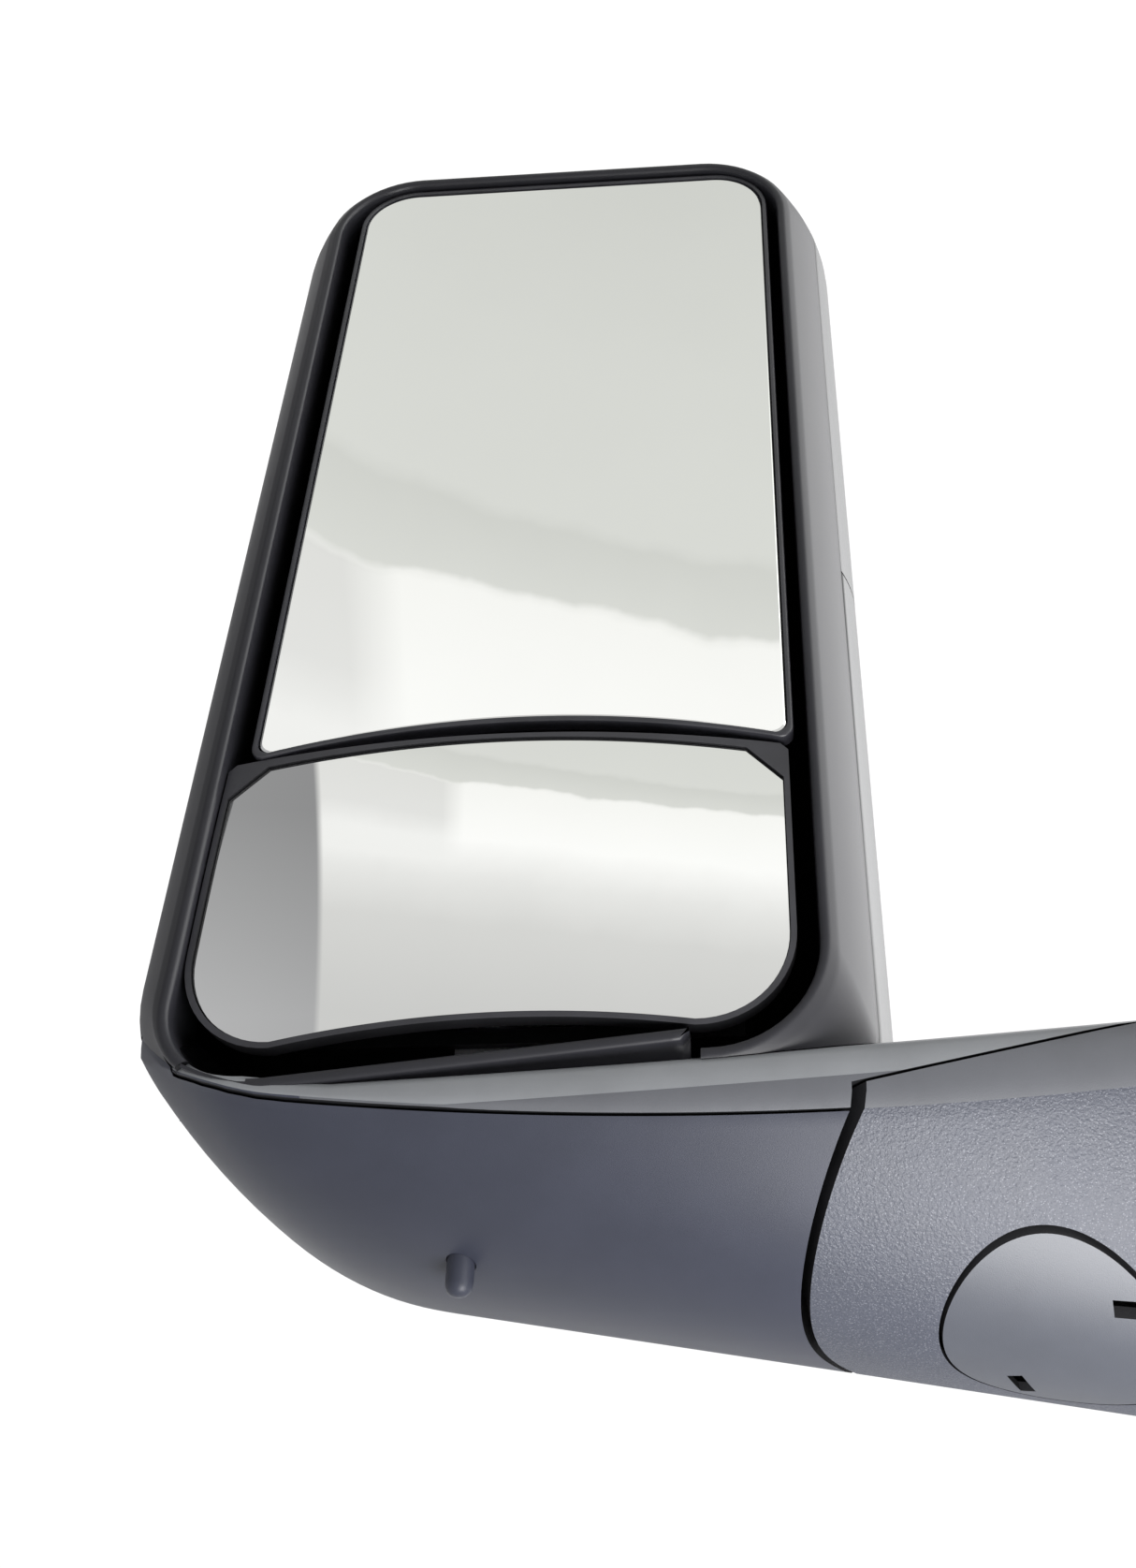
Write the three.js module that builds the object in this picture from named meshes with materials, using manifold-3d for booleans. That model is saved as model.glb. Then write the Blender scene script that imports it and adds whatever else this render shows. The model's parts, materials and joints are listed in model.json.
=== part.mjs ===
// Left-hand door mirror for a heavy truck: a tall two-glass head on an arm that folds about an inclined
// pivot beside the door. Millimetres, +Z up, +Y towards the front of the truck, +X towards the door.
// The head and arm are drawn in head coordinates (origin at the centre of the head's rim opening, the rim
// in the plane Y = 0), and one outer group moves them so that the origin is the middle of the door face.
import * as THREE from "three";
import { mergeVertices } from "three/addons/utils/BufferGeometryUtils.js";
import Module from "manifold-3d";

const wasm = await Module();
wasm.setup();

// ---------------------------------------------------------------- driving dimensions
const GAP = 0.4; // between pieces that touch on the real mirror
const WALL = 3; // moulded shells
const SHUT = 1; // shut lines between moulded shells
const SLIVER = 0.02; // detail smaller than this is dropped

const RIM = { left: -114.5, right: 116.5, bottom: -250, top: 254, corner: 40 }; // rim opening
const OUTER_FOOT = { corner: 28, drop: 5 }; // its outer lower corner is sharper, and lower
const FOOT = { left: -105.5, right: 70, drop: 5.8 }; // the stretch of its lip that stands on the arm
const BEZEL_END = { left: -101, right: 74, rise: 2.2, slope: 0.534, above: 14 }; // the bezel stops short of it
const LIP = 4.5; // width of the rim's front lip
const RIM_DEPTH = 26; // how far the rim's inner wall runs back
const BEZEL_BACK = 22; // where the bezel's flare meets the back covers
const HEAD_DEPTH = 142;
const HEAD_ROUNDING = { side: 70, top: 60, bottom: 10 }; // how far the back draws in at full depth
const HEAD_WIDEST = 60; // depth at which the head is widest
const FLARE = { left: 25.8, right: 22.5 }; // how much wider than its lip the head is there
const COVER_SPLIT = -20; // height of the joint between the two back covers

const ARM_LEFT = -136; // outer end of the arm's envelope
const DOOR = new THREE.Vector3(330, 72, -300); // middle of the door face
const ARM_BACK = 132; // depth of the arm
const KEEL_DEPTH = 111; // how far behind its front the underside is lowest
const CROWN = 16; // rise of the arm's top between front and back, beside the pivot
const KEEL_POWER = 2.6; // how quickly the underside falls away behind the seam

const TILT = THREE.MathUtils.degToRad(11); // the fold axis leans outwards
const PIVOT = new THREE.Vector3(186.5, 65, -310); // a point on the fold axis
const PARTING = 56; // height along the fold axis of the joint under the lid
const NOSE = 80.3; // radius of the fixed arm's rounded end about the fold axis
const NOSE_GAP = 3; // gap between that end and the folding arm
const LID = 86.5; // radius of the lid that covers the pivot
const CAP = 37.6; // radius of the round cap below the pivot
const CAP_GAP = 1.3; // the cap sits a little to the back of its hole
const CAP_SLOT = 2.6; // half the width of its two key slots

const SHAFT = { outer: 13, inner: 8.5, top: 68, bottom: -8 };
const HUB = { radius: 31, bottom: 57, top: 66 };
const BOSS = { radius: 26, bore: 15.6, bottom: 7, top: 54 };

const GLASS_FRONT = 4; // depth of the glass behind the rim
const GLASS_THICK = 2.2;
const HOLDER_RIM = 2.6; // plastic edge round each glass
const HOLDER_BACK = 10; // depth of the holders' rear faces
const CONVEX = 1200; // radius of the lower glass
const SWIVEL_DEPTH = 14; // depth of each glass's swivel centre
const JACK_ARM = 32; // distance of each jackscrew from the swivel centre
const UPPER = { left: -103, right: 108.5, top: 249, end: -118.5, arch: 12.5, corner: 26, swivel: 66 };
const LOWER = { left: -111, right: 106, bottom: -242, end: -125.5, arch: 7, corner: 34, swivel: -178 };
const LOWER_FOOT = { arch: 5.5, rise: 3.5 }; // its lower edge arches, and its inner end is higher
const GLASS_MIDDLE = 2; // sideways place of both swivels

const MAST = { half: 24, front: 54, back: 66 };
const CARRIER = { front: 45, back: 49 };

// ---------------------------------------------------------------- finishes
const finish = (color, roughness, metalness = 0) =>
  new THREE.MeshStandardMaterial({ color, roughness, metalness });
const satinBlack = finish(0x2b2d33, 0.5);
const grainBlack = finish(0x35373c, 0.65);
const lipBlack = finish(0x25262a, 0.45);
const innerBlack = finish(0x121214, 0.8);
const rubberBlack = finish(0x1a1a1b, 0.9);
const castAluminium = finish(0x9a9ca0, 0.5, 0.9);
const steel = finish(0xb0b2b5, 0.35, 1);
const brass = finish(0xb08d4c, 0.4, 1);
const mirrorSilver = finish(0xd8dbd9, 0.03, 1);
const heaterFoil = finish(0x8a4b2c, 0.6, 0.2);
const motorWhite = finish(0xd9d8d2, 0.6);

// ---------------------------------------------------------------- solids
// A closed mesh as a solid that can be joined and cut. A mesh drawn inside out is turned round first.
function solid(geometry) {
  const bare = geometry.index ? geometry.toNonIndexed() : geometry.clone();
  bare.deleteAttribute("normal");
  bare.deleteAttribute("uv");
  const merged = mergeVertices(bare, 1e-4);
  const triVerts = new Uint32Array(merged.index.array);
  const vertProperties = merged.attributes.position.array;
  const made = new wasm.Manifold(new wasm.Mesh({ numProp: 3, vertProperties, triVerts }));
  if (made.volume() > 0) return made;
  const turned = triVerts.map((_, i) => triVerts[i - (i % 3) + [0, 2, 1][i % 3]]);
  return new wasm.Manifold(new wasm.Mesh({ numProp: 3, vertProperties, triVerts: turned }));
}

function surface(made) {
  const { numProp, vertProperties, triVerts } = made.getMesh();
  const position = new Float32Array((vertProperties.length / numProp) * 3);
  for (let i = 0; i < position.length / 3; i++) {
    position.set(vertProperties.subarray(i * numProp, i * numProp + 3), i * 3);
  }
  const geometry = new THREE.BufferGeometry();
  geometry.setAttribute("position", new THREE.BufferAttribute(position, 3));
  geometry.setIndex(new THREE.BufferAttribute(new Uint32Array(triVerts), 1));
  geometry.computeVertexNormals();
  return geometry;
}

const join = (first, ...rest) => rest.reduce((all, next) => all.add(next), first);
const cut = (first, ...rest) => rest.reduce((left, next) => left.subtract(next), first);

// The largest piece of a solid, without the slivers and the very short edges that a cut leaves where two
// forms cross.
const whole = (made) => made.decompose().sort((a, b) => b.volume() - a.volume())[0].simplify(SLIVER);

// Triangles between neighbouring loops of equal length. A tube's ends are closed by fans, and a ring's
// last loop meets its first.
function loft(loops, ring = false) {
  const count = loops[0].length;
  const points = loops.flat();
  const index = [];
  for (let i = 0; i < loops.length - (ring ? 0 : 1); i++) {
    const next = (i + 1) % loops.length;
    for (let j = 0; j < count; j++) {
      const k = (j + 1) % count;
      index.push(i * count + j, next * count + j, next * count + k);
      index.push(i * count + j, next * count + k, i * count + k);
    }
  }
  if (!ring) {
    for (const [start, flip] of [[0, false], [(loops.length - 1) * count, true]]) {
      const edge = points.slice(start, start + count);
      points.push(edge.reduce((sum, p) => sum.addScaledVector(p, 1 / count), new THREE.Vector3()));
      for (let j = 0; j < count; j++) {
        const here = start + j;
        const next = start + ((j + 1) % count);
        index.push(points.length - 1, flip ? next : here, flip ? here : next);
      }
    }
  }
  const geometry = new THREE.BufferGeometry().setFromPoints(points);
  geometry.setIndex(index);
  return solid(geometry);
}

const range = (from, to, steps) =>
  Array.from({ length: steps + 1 }, (_, i) => from + ((to - from) * i) / steps);

function box(min, max) {
  const size = new THREE.Vector3().subVectors(max, min);
  const geometry = new THREE.BoxGeometry(size.x, size.y, size.z);
  geometry.translate((min.x + max.x) / 2, (min.y + max.y) / 2, (min.z + max.z) / 2);
  return solid(geometry);
}
const block = (x0, x1, y0, y1, z0, z1) => box(new THREE.Vector3(x0, y0, z0), new THREE.Vector3(x1, y1, z1));

// A turned solid about +Z, from a profile of [radius, height] pairs.
const turned = (profile, sides = 16) =>
  solid(new THREE.LatheGeometry([...profile, profile[0]].map(([r, z]) => new THREE.Vector2(r, z)), sides)
    .rotateX(Math.PI / 2));
const disc = (radius, bottom, top, sides = 16) =>
  turned([[0, bottom], [radius, bottom], [radius, top], [0, top]], sides);
const washer = (inner, outer, bottom, top, sides = 16) =>
  turned([[inner, bottom], [outer, bottom], [outer, top], [inner, top]], sides);

const moved = (made, x, y, z) => made.translate([x, y, z]);
const towardsBack = (made) => made.rotate([-90, 0, 0]); // a solid drawn along +Z, laid along +Y
const towardsDoor = (made) => made.rotate([0, 90, 0]); // a solid drawn along +Z, laid along +X
const inDoorFace = (made, y, z) => moved(towardsDoor(made), DOOR.x, y, z);
const fromFront = (made, x, z) => moved(towardsBack(made), x, 0, z);
const SCREW_RADIUS = 2.6;
const SCREW_HOLE = 3;
const SCREW_LENGTH = 16;

// An outline drawn in X and Z, extruded along +Y from one depth to another.
function prism(shape, from, to) {
  const options = { depth: to - from, bevelEnabled: false, curveSegments: 6 };
  const geometry = new THREE.ExtrudeGeometry(shape, options);
  geometry.rotateX(Math.PI / 2);
  geometry.translate(0, to, 0);
  return solid(geometry);
}

// A round bar along a smooth route.
function bar(route, radius, steps) {
  const shape = new THREE.Shape().absarc(0, 0, radius, 0, 2 * Math.PI);
  const points = route.map((p) => new THREE.Vector3(...p));
  const extrudePath = new THREE.CatmullRomCurve3(points, false, "centripetal");
  return solid(new THREE.ExtrudeGeometry(shape, { steps, extrudePath, curveSegments: 4 }));
}

// ---------------------------------------------------------------- the fold axis
const foldMatrix = new THREE.Matrix4().makeRotationY(-TILT).setPosition(PIVOT);
const onAxis = (made) => made.rotate([0, THREE.MathUtils.radToDeg(-TILT), 0]).translate(PIVOT.toArray());
const alongAxis = (x, y, z) => new THREE.Vector3(x, y, z).applyMatrix4(foldMatrix);
const FAR = 600;

// Everything that folds with the head: the outer half beyond the fixed arm's rounded end, and the lid.
function foldingSpace(inset) {
  const half = block(-FAR, 0, -FAR, FAR, -FAR, FAR);
  const keepOut = disc(NOSE + NOSE_GAP + inset, -FAR, PARTING + SHUT + inset, 40);
  const lid = disc(LID - inset, PARTING + SHUT + inset, FAR, 40);
  return onAxis(join(cut(half, keepOut), lid));
}

// Everything fixed to the door: the rounded end below the parting, and the inner half outside the lid.
function fixedSpace(inset) {
  const half = block(inset, FAR, -FAR, FAR, -FAR, FAR);
  const above = disc(LID + 1.5 * SHUT + inset, PARTING - inset, FAR, 40);
  const end = disc(NOSE - inset, -FAR, PARTING - inset, 40);
  return onAxis(join(cut(half, above), end));
}

// ---------------------------------------------------------------- the arm's envelope
const leftOf = (x, start) => Math.max(0, start - x);
const armFront = (x) => 0.012 * leftOf(x, -88) ** 2;
const armRear = (x) => ARM_BACK - 0.005 * leftOf(x, -40) ** 2;
const armKeel = (x) => -314.9 - 0.163 * x + 0.000655 * leftOf(x, -26) ** 2.4;
const armSeam = (x) => -273 + 0.00035 * (Math.min(x, 217) - 95) ** 2 + 0.0045 * leftOf(x, -71) ** 2;
const armCrest = (x) => -256.6 + 0.038 * (x + 5) + 0.00006 * (x + 5) ** 2 + 0.008 * leftOf(x, -62) ** 2;

// One section across the arm, as points in Y and Z, from the crest down the front and round the underside.
function armSection(x, inset) {
  const front = armFront(x);
  const rear = armRear(x);
  const keel = armKeel(x);
  const seam = Math.max(armSeam(x), keel + 4);
  const crest = Math.max(armCrest(x), seam + 7);
  const keelAt = front + ((rear - front) * KEEL_DEPTH) / ARM_BACK;
  const crease = Math.max(crest - 11, seam + 1);
  const points = [[front + 3, crest], [front, crest - 4], [front, crease], [front + 2.5, seam]];
  for (const u of range(0, 1, 8).slice(1)) {
    const fall = 1 - (1 - u) ** KEEL_POWER;
    points.push([front + 2.5 + (keelAt - front - 2.5) * u, seam + (keel - seam) * fall]);
  }
  const shoulder = seam - 6;
  for (const a of range(0, Math.PI / 2, 4).slice(1)) {
    points.push([keelAt + (rear - keelAt) * Math.sin(a), shoulder + (keel - shoulder) * Math.cos(a)]);
  }
  const crown = CROWN - 0.025 * leftOf(x, 100);
  const span = rear - front - 12;
  for (const u of range(1, 0, 6).slice(0, -1)) {
    points.push([front + 3 + span * u, crest + crown * 4 * u * (1 - u) - 6 * u]);
  }
  const corners = points.map(([y, z]) => new THREE.Vector2(y, z));
  return corners.map((corner, i) => {
    const next = corners[(i + 1) % corners.length];
    const last = corners[(i + corners.length - 1) % corners.length];
    const along = new THREE.Vector2().subVectors(next, last).normalize();
    return new THREE.Vector3(x, corner.x - along.y * inset, corner.y + along.x * inset);
  });
}

// The arm's whole outer form, or the form a given distance inside it. Both have the same stations, and the
// inner one starts further in.
const armStations = [...range(ARM_LEFT, -60, 8), ...range(-30, DOOR.x - 4, 9)];
function armForm(inset, left, right) {
  const stations = [...armStations.filter((x) => x > left && x < right), right];
  const roundedEnd = armSection(stations[0] - 2 + Math.min(0, inset), inset + 6);
  return loft([roundedEnd, ...stations.map((x) => armSection(x, inset))]);
}
const armOuter = armForm(0, ARM_LEFT - 1, DOOR.x - 4);
const armInner = armForm(WALL, ARM_LEFT + 10 * WALL, DOOR.x);
const armClear = join(armForm(-GAP, ARM_LEFT - 1, DOOR.x), moved(armOuter, -GAP, -GAP, 0));

// Everything below a line along the arm, taken straight through from front to back.
function below(line, left, right) {
  const shape = new THREE.Shape();
  shape.moveTo(left, -FAR);
  shape.lineTo(right, -FAR);
  for (const x of range(right, left, 16)) {
    shape.lineTo(x, line(x));
  }
  return prism(shape, -FAR, FAR);
}

// ---------------------------------------------------------------- the head's envelope
// A rounded rectangle as a loop of points at one depth, from its top right corner. Its outer lower corner is
// lower than the other one by the drop.
function outline(left, right, bottom, top, corners, drop, depth) {
  const [topRight, topLeft, bottomLeft, bottomRight] = corners;
  const centres = [
    [right - topRight, top - topRight, topRight, 0],
    [left + topLeft, top - topLeft, topLeft, 1],
    [left + bottomLeft, bottom - drop + bottomLeft, bottomLeft, 2],
    [right - bottomRight, bottom + bottomRight, bottomRight, 3],
  ];
  return centres.flatMap(([x, z, r, quarter]) =>
    range(0, Math.PI / 2, 7).map((a) => {
      const turn = a + (quarter * Math.PI) / 2;
      return new THREE.Vector3(x + r * Math.cos(turn), depth, z + r * Math.sin(turn));
    }));
}

function rimLoop(offset, depth) {
  const round = RIM.corner + offset;
  const corners = [round, round, OUTER_FOOT.corner + offset, round];
  const { left, right, bottom, top } = RIM;
  return outline(left - offset, right + offset, bottom - offset, top + offset, corners, OUTER_FOOT.drop, depth);
}

function headLoop(depth, inset = 0) {
  const front = Math.max(0, 1 - depth / HEAD_WIDEST);
  const back = Math.min(0.98, Math.max(0, depth - HEAD_WIDEST) / (HEAD_DEPTH - HEAD_WIDEST));
  const close = 1 - Math.sqrt(1 - back * back);
  const side = (flare) => LIP + flare * (1 - front ** 2.4) - HEAD_ROUNDING.side * close - inset;
  const rise = LIP + 4 * (1 - front ** 2) - HEAD_ROUNDING.top * close - inset;
  const fall = LIP + 9 * (1 - front ** 2) - HEAD_ROUNDING.bottom * close - inset;
  const round = RIM.corner + LIP + 14 * (1 - front) - inset;
  const outerFoot = round - (RIM.corner - OUTER_FOOT.corner) * front;
  const innerFoot = Math.max(22, RIM.corner + LIP - 1.2 * depth) - inset;
  const corners = [round, round, outerFoot, innerFoot];
  const left = RIM.left - side(FLARE.left);
  const right = RIM.right + side(FLARE.right);
  return outline(left, right, RIM.bottom - fall, RIM.top + rise, corners, OUTER_FOOT.drop * front, depth);
}

// ---------------------------------------------------------------- assembly
const mirror = new THREE.Group();
mirror.name = "towing_mirror";
const headFrame = new THREE.Group(); // head coordinates
headFrame.position.copy(DOOR).negate();
mirror.add(headFrame);

function add(name, made, material) {
  const mesh = new THREE.Mesh(surface(whole(made)), material);
  mesh.name = name;
  headFrame.add(mesh);
}

// A pan-head screw along +Z, its head at the top.
function screw(length) {
  const r = SCREW_RADIUS;
  return turned([[0, -length], [r, -length], [r, 0], [2 * r, 0], [1.9 * r, r], [0, 1.3 * r]], 10);
}

// ---------------------------------------------------------------- fixed base
const plateX = DOOR.x - 8;
const INSERTS = [[106, -282], [103, -322], [44, -286]]; // Y and Z of the three door fixings
const INSERT_RADIUS = 7;
const INSERT_DEPTH = 13;
const GROMMET_AT = [76, -322];
const GROMMET_RADIUS = 12;

// Aluminium casting: door plate, hollow beam and the boss that carries the pivot.
function baseCasting() {
  const plate = block(plateX, DOOR.x, 30, 118, -344, -262).intersect(armForm(10.5, 200, DOOR.x + 1));
  const beam = block(PIVOT.x + 8, plateX + 1, 50, 94, -318, -276);
  const boss = onAxis(disc(BOSS.radius, BOSS.bottom, BOSS.top, 24));
  const bore = onAxis(disc(BOSS.bore, BOSS.bottom - 30, BOSS.top + 1, 24));
  const tunnel = block(PIVOT.x - 4, plateX - 6, 64, 88, -336, -308);
  const hole = disc(INSERT_RADIUS + GAP, -INSERT_DEPTH - 1, 1, 24);
  const lug = disc(INSERT_RADIUS + 5, -INSERT_DEPTH - 3, -1, 24);
  const holes = INSERTS.map(([y, z]) => inDoorFace(hole, y, z));
  const lugs = INSERTS.map(([y, z]) => inDoorFace(lug, y, z));
  const underBoss = onAxis(block(-FAR, BOSS.radius + 14, -FAR, FAR, -FAR, BOSS.bottom));
  const window = inDoorFace(disc(GROMMET_RADIUS + GAP, -20, 1, 24), ...GROMMET_AT);
  return cut(join(plate, cut(join(beam, boss), underBoss), ...lugs), bore, tunnel, window, ...holes);
}

const armWallFixed = cut(armOuter.intersect(fixedSpace(0)), armInner.intersect(fixedSpace(WALL)));
const baseCoverLine = (x) => armCrest(x) - 0.5;
const recess = LID + 1.5 * SHUT; // radius of the space that the lid turns in
const underCover = join(below(baseCoverLine, 100, 400), onAxis(disc(recess - 0.7, -FAR, FAR, 40)));
const capHole = onAxis(disc(CAP + CAP_GAP, -FAR, 25, 40));
const hubHole = onAxis(disc(HUB.radius + 2, 20, 200, 24));
const baseScrews = [[256, 104], [302, 104]]; // X and Y, driven up from below

function baseShell() {
  const holes = baseScrews.map(([x, y]) => moved(disc(3.4, -400, -300, 20), x, y, 0));
  return cut(armWallFixed.intersect(underCover), capHole, hubHole, ...holes);
}

function baseTopCover() {
  const shellBelow = below((x) => baseCoverLine(x) + GAP, 100, 400);
  return cut(armWallFixed, shellBelow, onAxis(disc(recess + GAP, -FAR, FAR, 40)));
}

// The round cap closes the underside below the pivot, with two key slots for taking it off.
function pivotCap() {
  const dish = armOuter.intersect(onAxis(moved(disc(CAP, -FAR, 25, 40), 0, CAP_GAP / 2, 0)));
  const slot = (half) => block(-half, half, -CAP_SLOT, CAP_SLOT, -FAR, 25);
  const frontSlot = slot(6).translate([23.5, -18.4, 0]);
  const backSlot = slot(7.5).rotate([0, 0, 68]).translate([-11.6, 25, 0]);
  return cut(dish, armInner, onAxis(frontSlot), onAxis(backSlot));
}

add("base_casting", baseCasting(), castAluminium);
add("base_shell", baseShell(), grainBlack);
add("base_top_cover", baseTopCover(), grainBlack);
add("pivot_cap", pivotCap(), grainBlack);
INSERTS.forEach(([y, z], i) =>
  add(`mount_insert_${i + 1}`, inDoorFace(washer(4.2, INSERT_RADIUS, -INSERT_DEPTH, 0, 24), y, z), brass));

// Foam gasket between the base shell's edge and the door.
function doorGasket() {
  const at = (x, inset) => armSection(DOOR.x - 10, inset).map((p) => new THREE.Vector3(x, p.y, p.z));
  const ring = [at(DOOR.x - 3.6, 0), at(DOOR.x, 0), at(DOOR.x, 7), at(DOOR.x - 3.6, 7)];
  return loft(ring, true);
}
add("door_gasket", doorGasket(), rubberBlack);
add("harness_grommet", inDoorFace(washer(3.2, GROMMET_RADIUS, -12, 0, 24), ...GROMMET_AT), rubberBlack);
baseScrews.forEach(([x, y], i) =>
  add(`base_screw_${i + 1}`, moved(screw(14).rotate([180, 0, 0]), x, y, armKeel(x) - 1.2), steel));

// ---------------------------------------------------------------- pivot
add("pivot_bush_upper", onAxis(washer(SHAFT.outer + 0.35, BOSS.bore - 0.3, 36, BOSS.top, 24)), brass);
add("pivot_bush_lower", onAxis(washer(SHAFT.outer + 0.35, BOSS.bore - 0.3, BOSS.bottom, 22, 24)), brass);
add("thrust_washer", onAxis(washer(BOSS.bore, BOSS.radius, BOSS.top + 0.3, HUB.bottom - 0.5, 24)), brass);
add("pivot_shaft", onAxis(turned([
  [SHAFT.inner, SHAFT.bottom], [SHAFT.outer, SHAFT.bottom], [SHAFT.outer, HUB.top + GAP],
  [SHAFT.outer + 7, HUB.top + GAP], [SHAFT.outer + 7, SHAFT.top], [SHAFT.inner, SHAFT.top]], 24)), steel);
const springWasher = washer(SHAFT.outer + GAP, 22, BOSS.bottom - 2.4, BOSS.bottom - GAP, 24);
add("spring_washer_plate", onAxis(springWasher), steel);

// Disc springs, stacked alternately, keep the joint tight.
const discSpring = (bottom, up) => {
  const [inner, outer] = up ? [1.4, 0] : [0, 1.4];
  return turned([[SHAFT.outer + GAP, bottom + inner], [21, bottom + outer], [21, bottom + outer + 1],
    [SHAFT.outer + GAP, bottom + inner + 1]], 24);
};
range(0, 2, 2).forEach((i) =>
  add(`disc_spring_${i + 1}`, onAxis(discSpring(BOSS.bottom - 5.1 - 2.7 * i, i % 2 === 0)), steel));
const nut = cut(disc(20, SHAFT.bottom + 0.5, SHAFT.bottom + 4.4, 6), disc(SHAFT.outer + GAP, -FAR, FAR, 24));
add("pivot_nut", onAxis(nut), steel);

// ---------------------------------------------------------------- head casting
// Hub on the pivot, beam along the folding arm and mast up into the head.
function headCasting() {
  const hub = disc(HUB.radius, HUB.bottom, HUB.top, 24);
  const beam = block(-190, 0, -16, 16, 61.5, 71);
  const foot = block(-205, -165, -12, 16, 59, 71);
  const bore = disc(SHAFT.outer + GAP, 0, 100, 24);
  const seat = disc(HUB.radius - 1, HUB.top, 100, 24);
  const arm = onAxis(cut(join(hub, beam, foot), bore, seat));
  const mast = block(-MAST.half, MAST.half, MAST.front, MAST.back, -276, 130);
  const rib = block(-4, 4, MAST.back - 1, MAST.back + 22, -276, 110);
  return join(arm, mast, rib);
}
add("head_casting", headCasting(), castAluminium);

// ---------------------------------------------------------------- folding arm's covers
const armWallFolding = cut(armOuter.intersect(foldingSpace(0)), armInner.intersect(foldingSpace(WALL)));
const throughRim = loft([rimLoop(GAP, -4), rimLoop(GAP, FAR)]);
const glassSpace = block(-FAR, -72, -FAR, FAR, -FAR, FAR).intersect(throughRim);
const OUTER_END = -111; // left of here the arm's end is all lower shell
const SENSOR = { x: -15, y: 57, radius: 5, top: -293.2, tip: -317 };
const armScrews = [[-20, -276], [80, -280]]; // X and Z, driven forwards through the arm's back

function armLowerShell() {
  const probe = moved(disc(SENSOR.radius + GAP, -330, -280, 24), SENSOR.x, SENSOR.y, 0);
  const holes = armScrews.map(([x, z]) => fromFront(disc(SCREW_HOLE, 90, 200, 16), x, z));
  const under = join(below((x) => armSeam(x) - SHUT / 2, -200, 400),
    block(-FAR, OUTER_END - SHUT, -FAR, FAR, -FAR, FAR));
  return cut(armWallFolding.intersect(under), glassSpace, probe, ...holes);
}

// The bottom length of the rim's lip stands on the arm's top cover.
function rimFoot() {
  const { left, right } = FOOT;
  const line = (x) => RIM.bottom - FOOT.drop + 0.09 * (x + 75) + 0.009 * leftOf(x, -75) ** 2;
  const strip = (drop, from, to) => {
    const shape = new THREE.Shape();
    shape.moveTo(left, line(left) - drop(left));
    for (const x of range(left, right, 10)) {
      shape.lineTo(x, line(x));
    }
    for (const x of range(right, left, 10).slice(0, -1)) {
      shape.lineTo(x, line(x) - drop(x));
    }
    return prism(shape, from, to);
  };
  const lip = strip((x) => Math.min(LIP, line(x) - armSeam(x) - 2 * SHUT), 0, 10);
  const web = strip((x) => Math.max(1, line(x) - armCrest(x) + 2), 7, 11);
  return join(lip, web);
}

function armTopCover() {
  const above = cut(armWallFolding, below((x) => armSeam(x) + SHUT / 2, -200, 400),
    block(-FAR, OUTER_END, -FAR, FAR, -FAR, FAR));
  const mastHole = block(-MAST.half - 6, MAST.half + 26, MAST.front - 12, MAST.back + 30, -262, -200);
  const hub = onAxis(disc(HUB.radius + 2, 40, HUB.top, 24));
  return join(cut(above, glassSpace, mastHole, hub), rimFoot());
}

add("arm_lower_shell", armLowerShell(), satinBlack);
add("arm_top_cover", armTopCover(), satinBlack);
armScrews.forEach(([x, z], i) =>
  add(`arm_screw_${i + 1}`, moved(towardsBack(screw(SCREW_LENGTH)), x, ARM_BACK + 0.5, z), steel));

const probe = turned([[0, SENSOR.tip], [2.9, SENSOR.tip + 0.6], [4.5, SENSOR.tip + 2.4],
  [SENSOR.radius, SENSOR.tip + 5], [SENSOR.radius, SENSOR.top], [0, SENSOR.top]], 24);
add("temperature_sensor", moved(probe, SENSOR.x, SENSOR.y, 0), satinBlack);
add("sensor_clip", moved(washer(SENSOR.radius + GAP, 9, SENSOR.top - 3, SENSOR.top - 1.4, 20),
  SENSOR.x, SENSOR.y, 0), innerBlack);

// ---------------------------------------------------------------- head covers
function headShell(from) {
  const outer = loft([...range(from, HEAD_WIDEST, 3), ...range(80, HEAD_DEPTH, 6)].map((y) => headLoop(y)));
  const inner = loft([...range(from - 1, HEAD_WIDEST, 3), ...range(80, HEAD_DEPTH - WALL, 6)].map(
    (y) => headLoop(y, WALL)));
  return cut(outer, inner);
}
const shell = headShell(BEZEL_BACK + 0.6);
const coverScrews = [[-62, 150], [62, 150], [-62, -90], [62, -90]]; // X and Z, driven forwards from the back
const screwHoles = coverScrews.map(([x, z]) => fromFront(disc(SCREW_HOLE, 100, 200, 16), x, z));
const belowSplit = block(-FAR, FAR, -FAR, FAR, -FAR, COVER_SPLIT + SHUT / 2);
const aboveSplit = block(-FAR, FAR, -FAR, FAR, COVER_SPLIT - SHUT / 2, FAR);
const belowHead = block(-FAR, FAR, -FAR, FAR, -FAR, -262);
add("back_cover_upper", cut(shell, belowSplit, ...screwHoles), satinBlack);
add("back_cover_lower", cut(shell, aboveSplit, belowHead, armClear, ...screwHoles), satinBlack);
coverScrews.forEach(([x, z], i) =>
  add(`cover_screw_${i + 1}`, moved(towardsBack(screw(SCREW_LENGTH)), x, HEAD_DEPTH + 0.5, z), steel));

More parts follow.
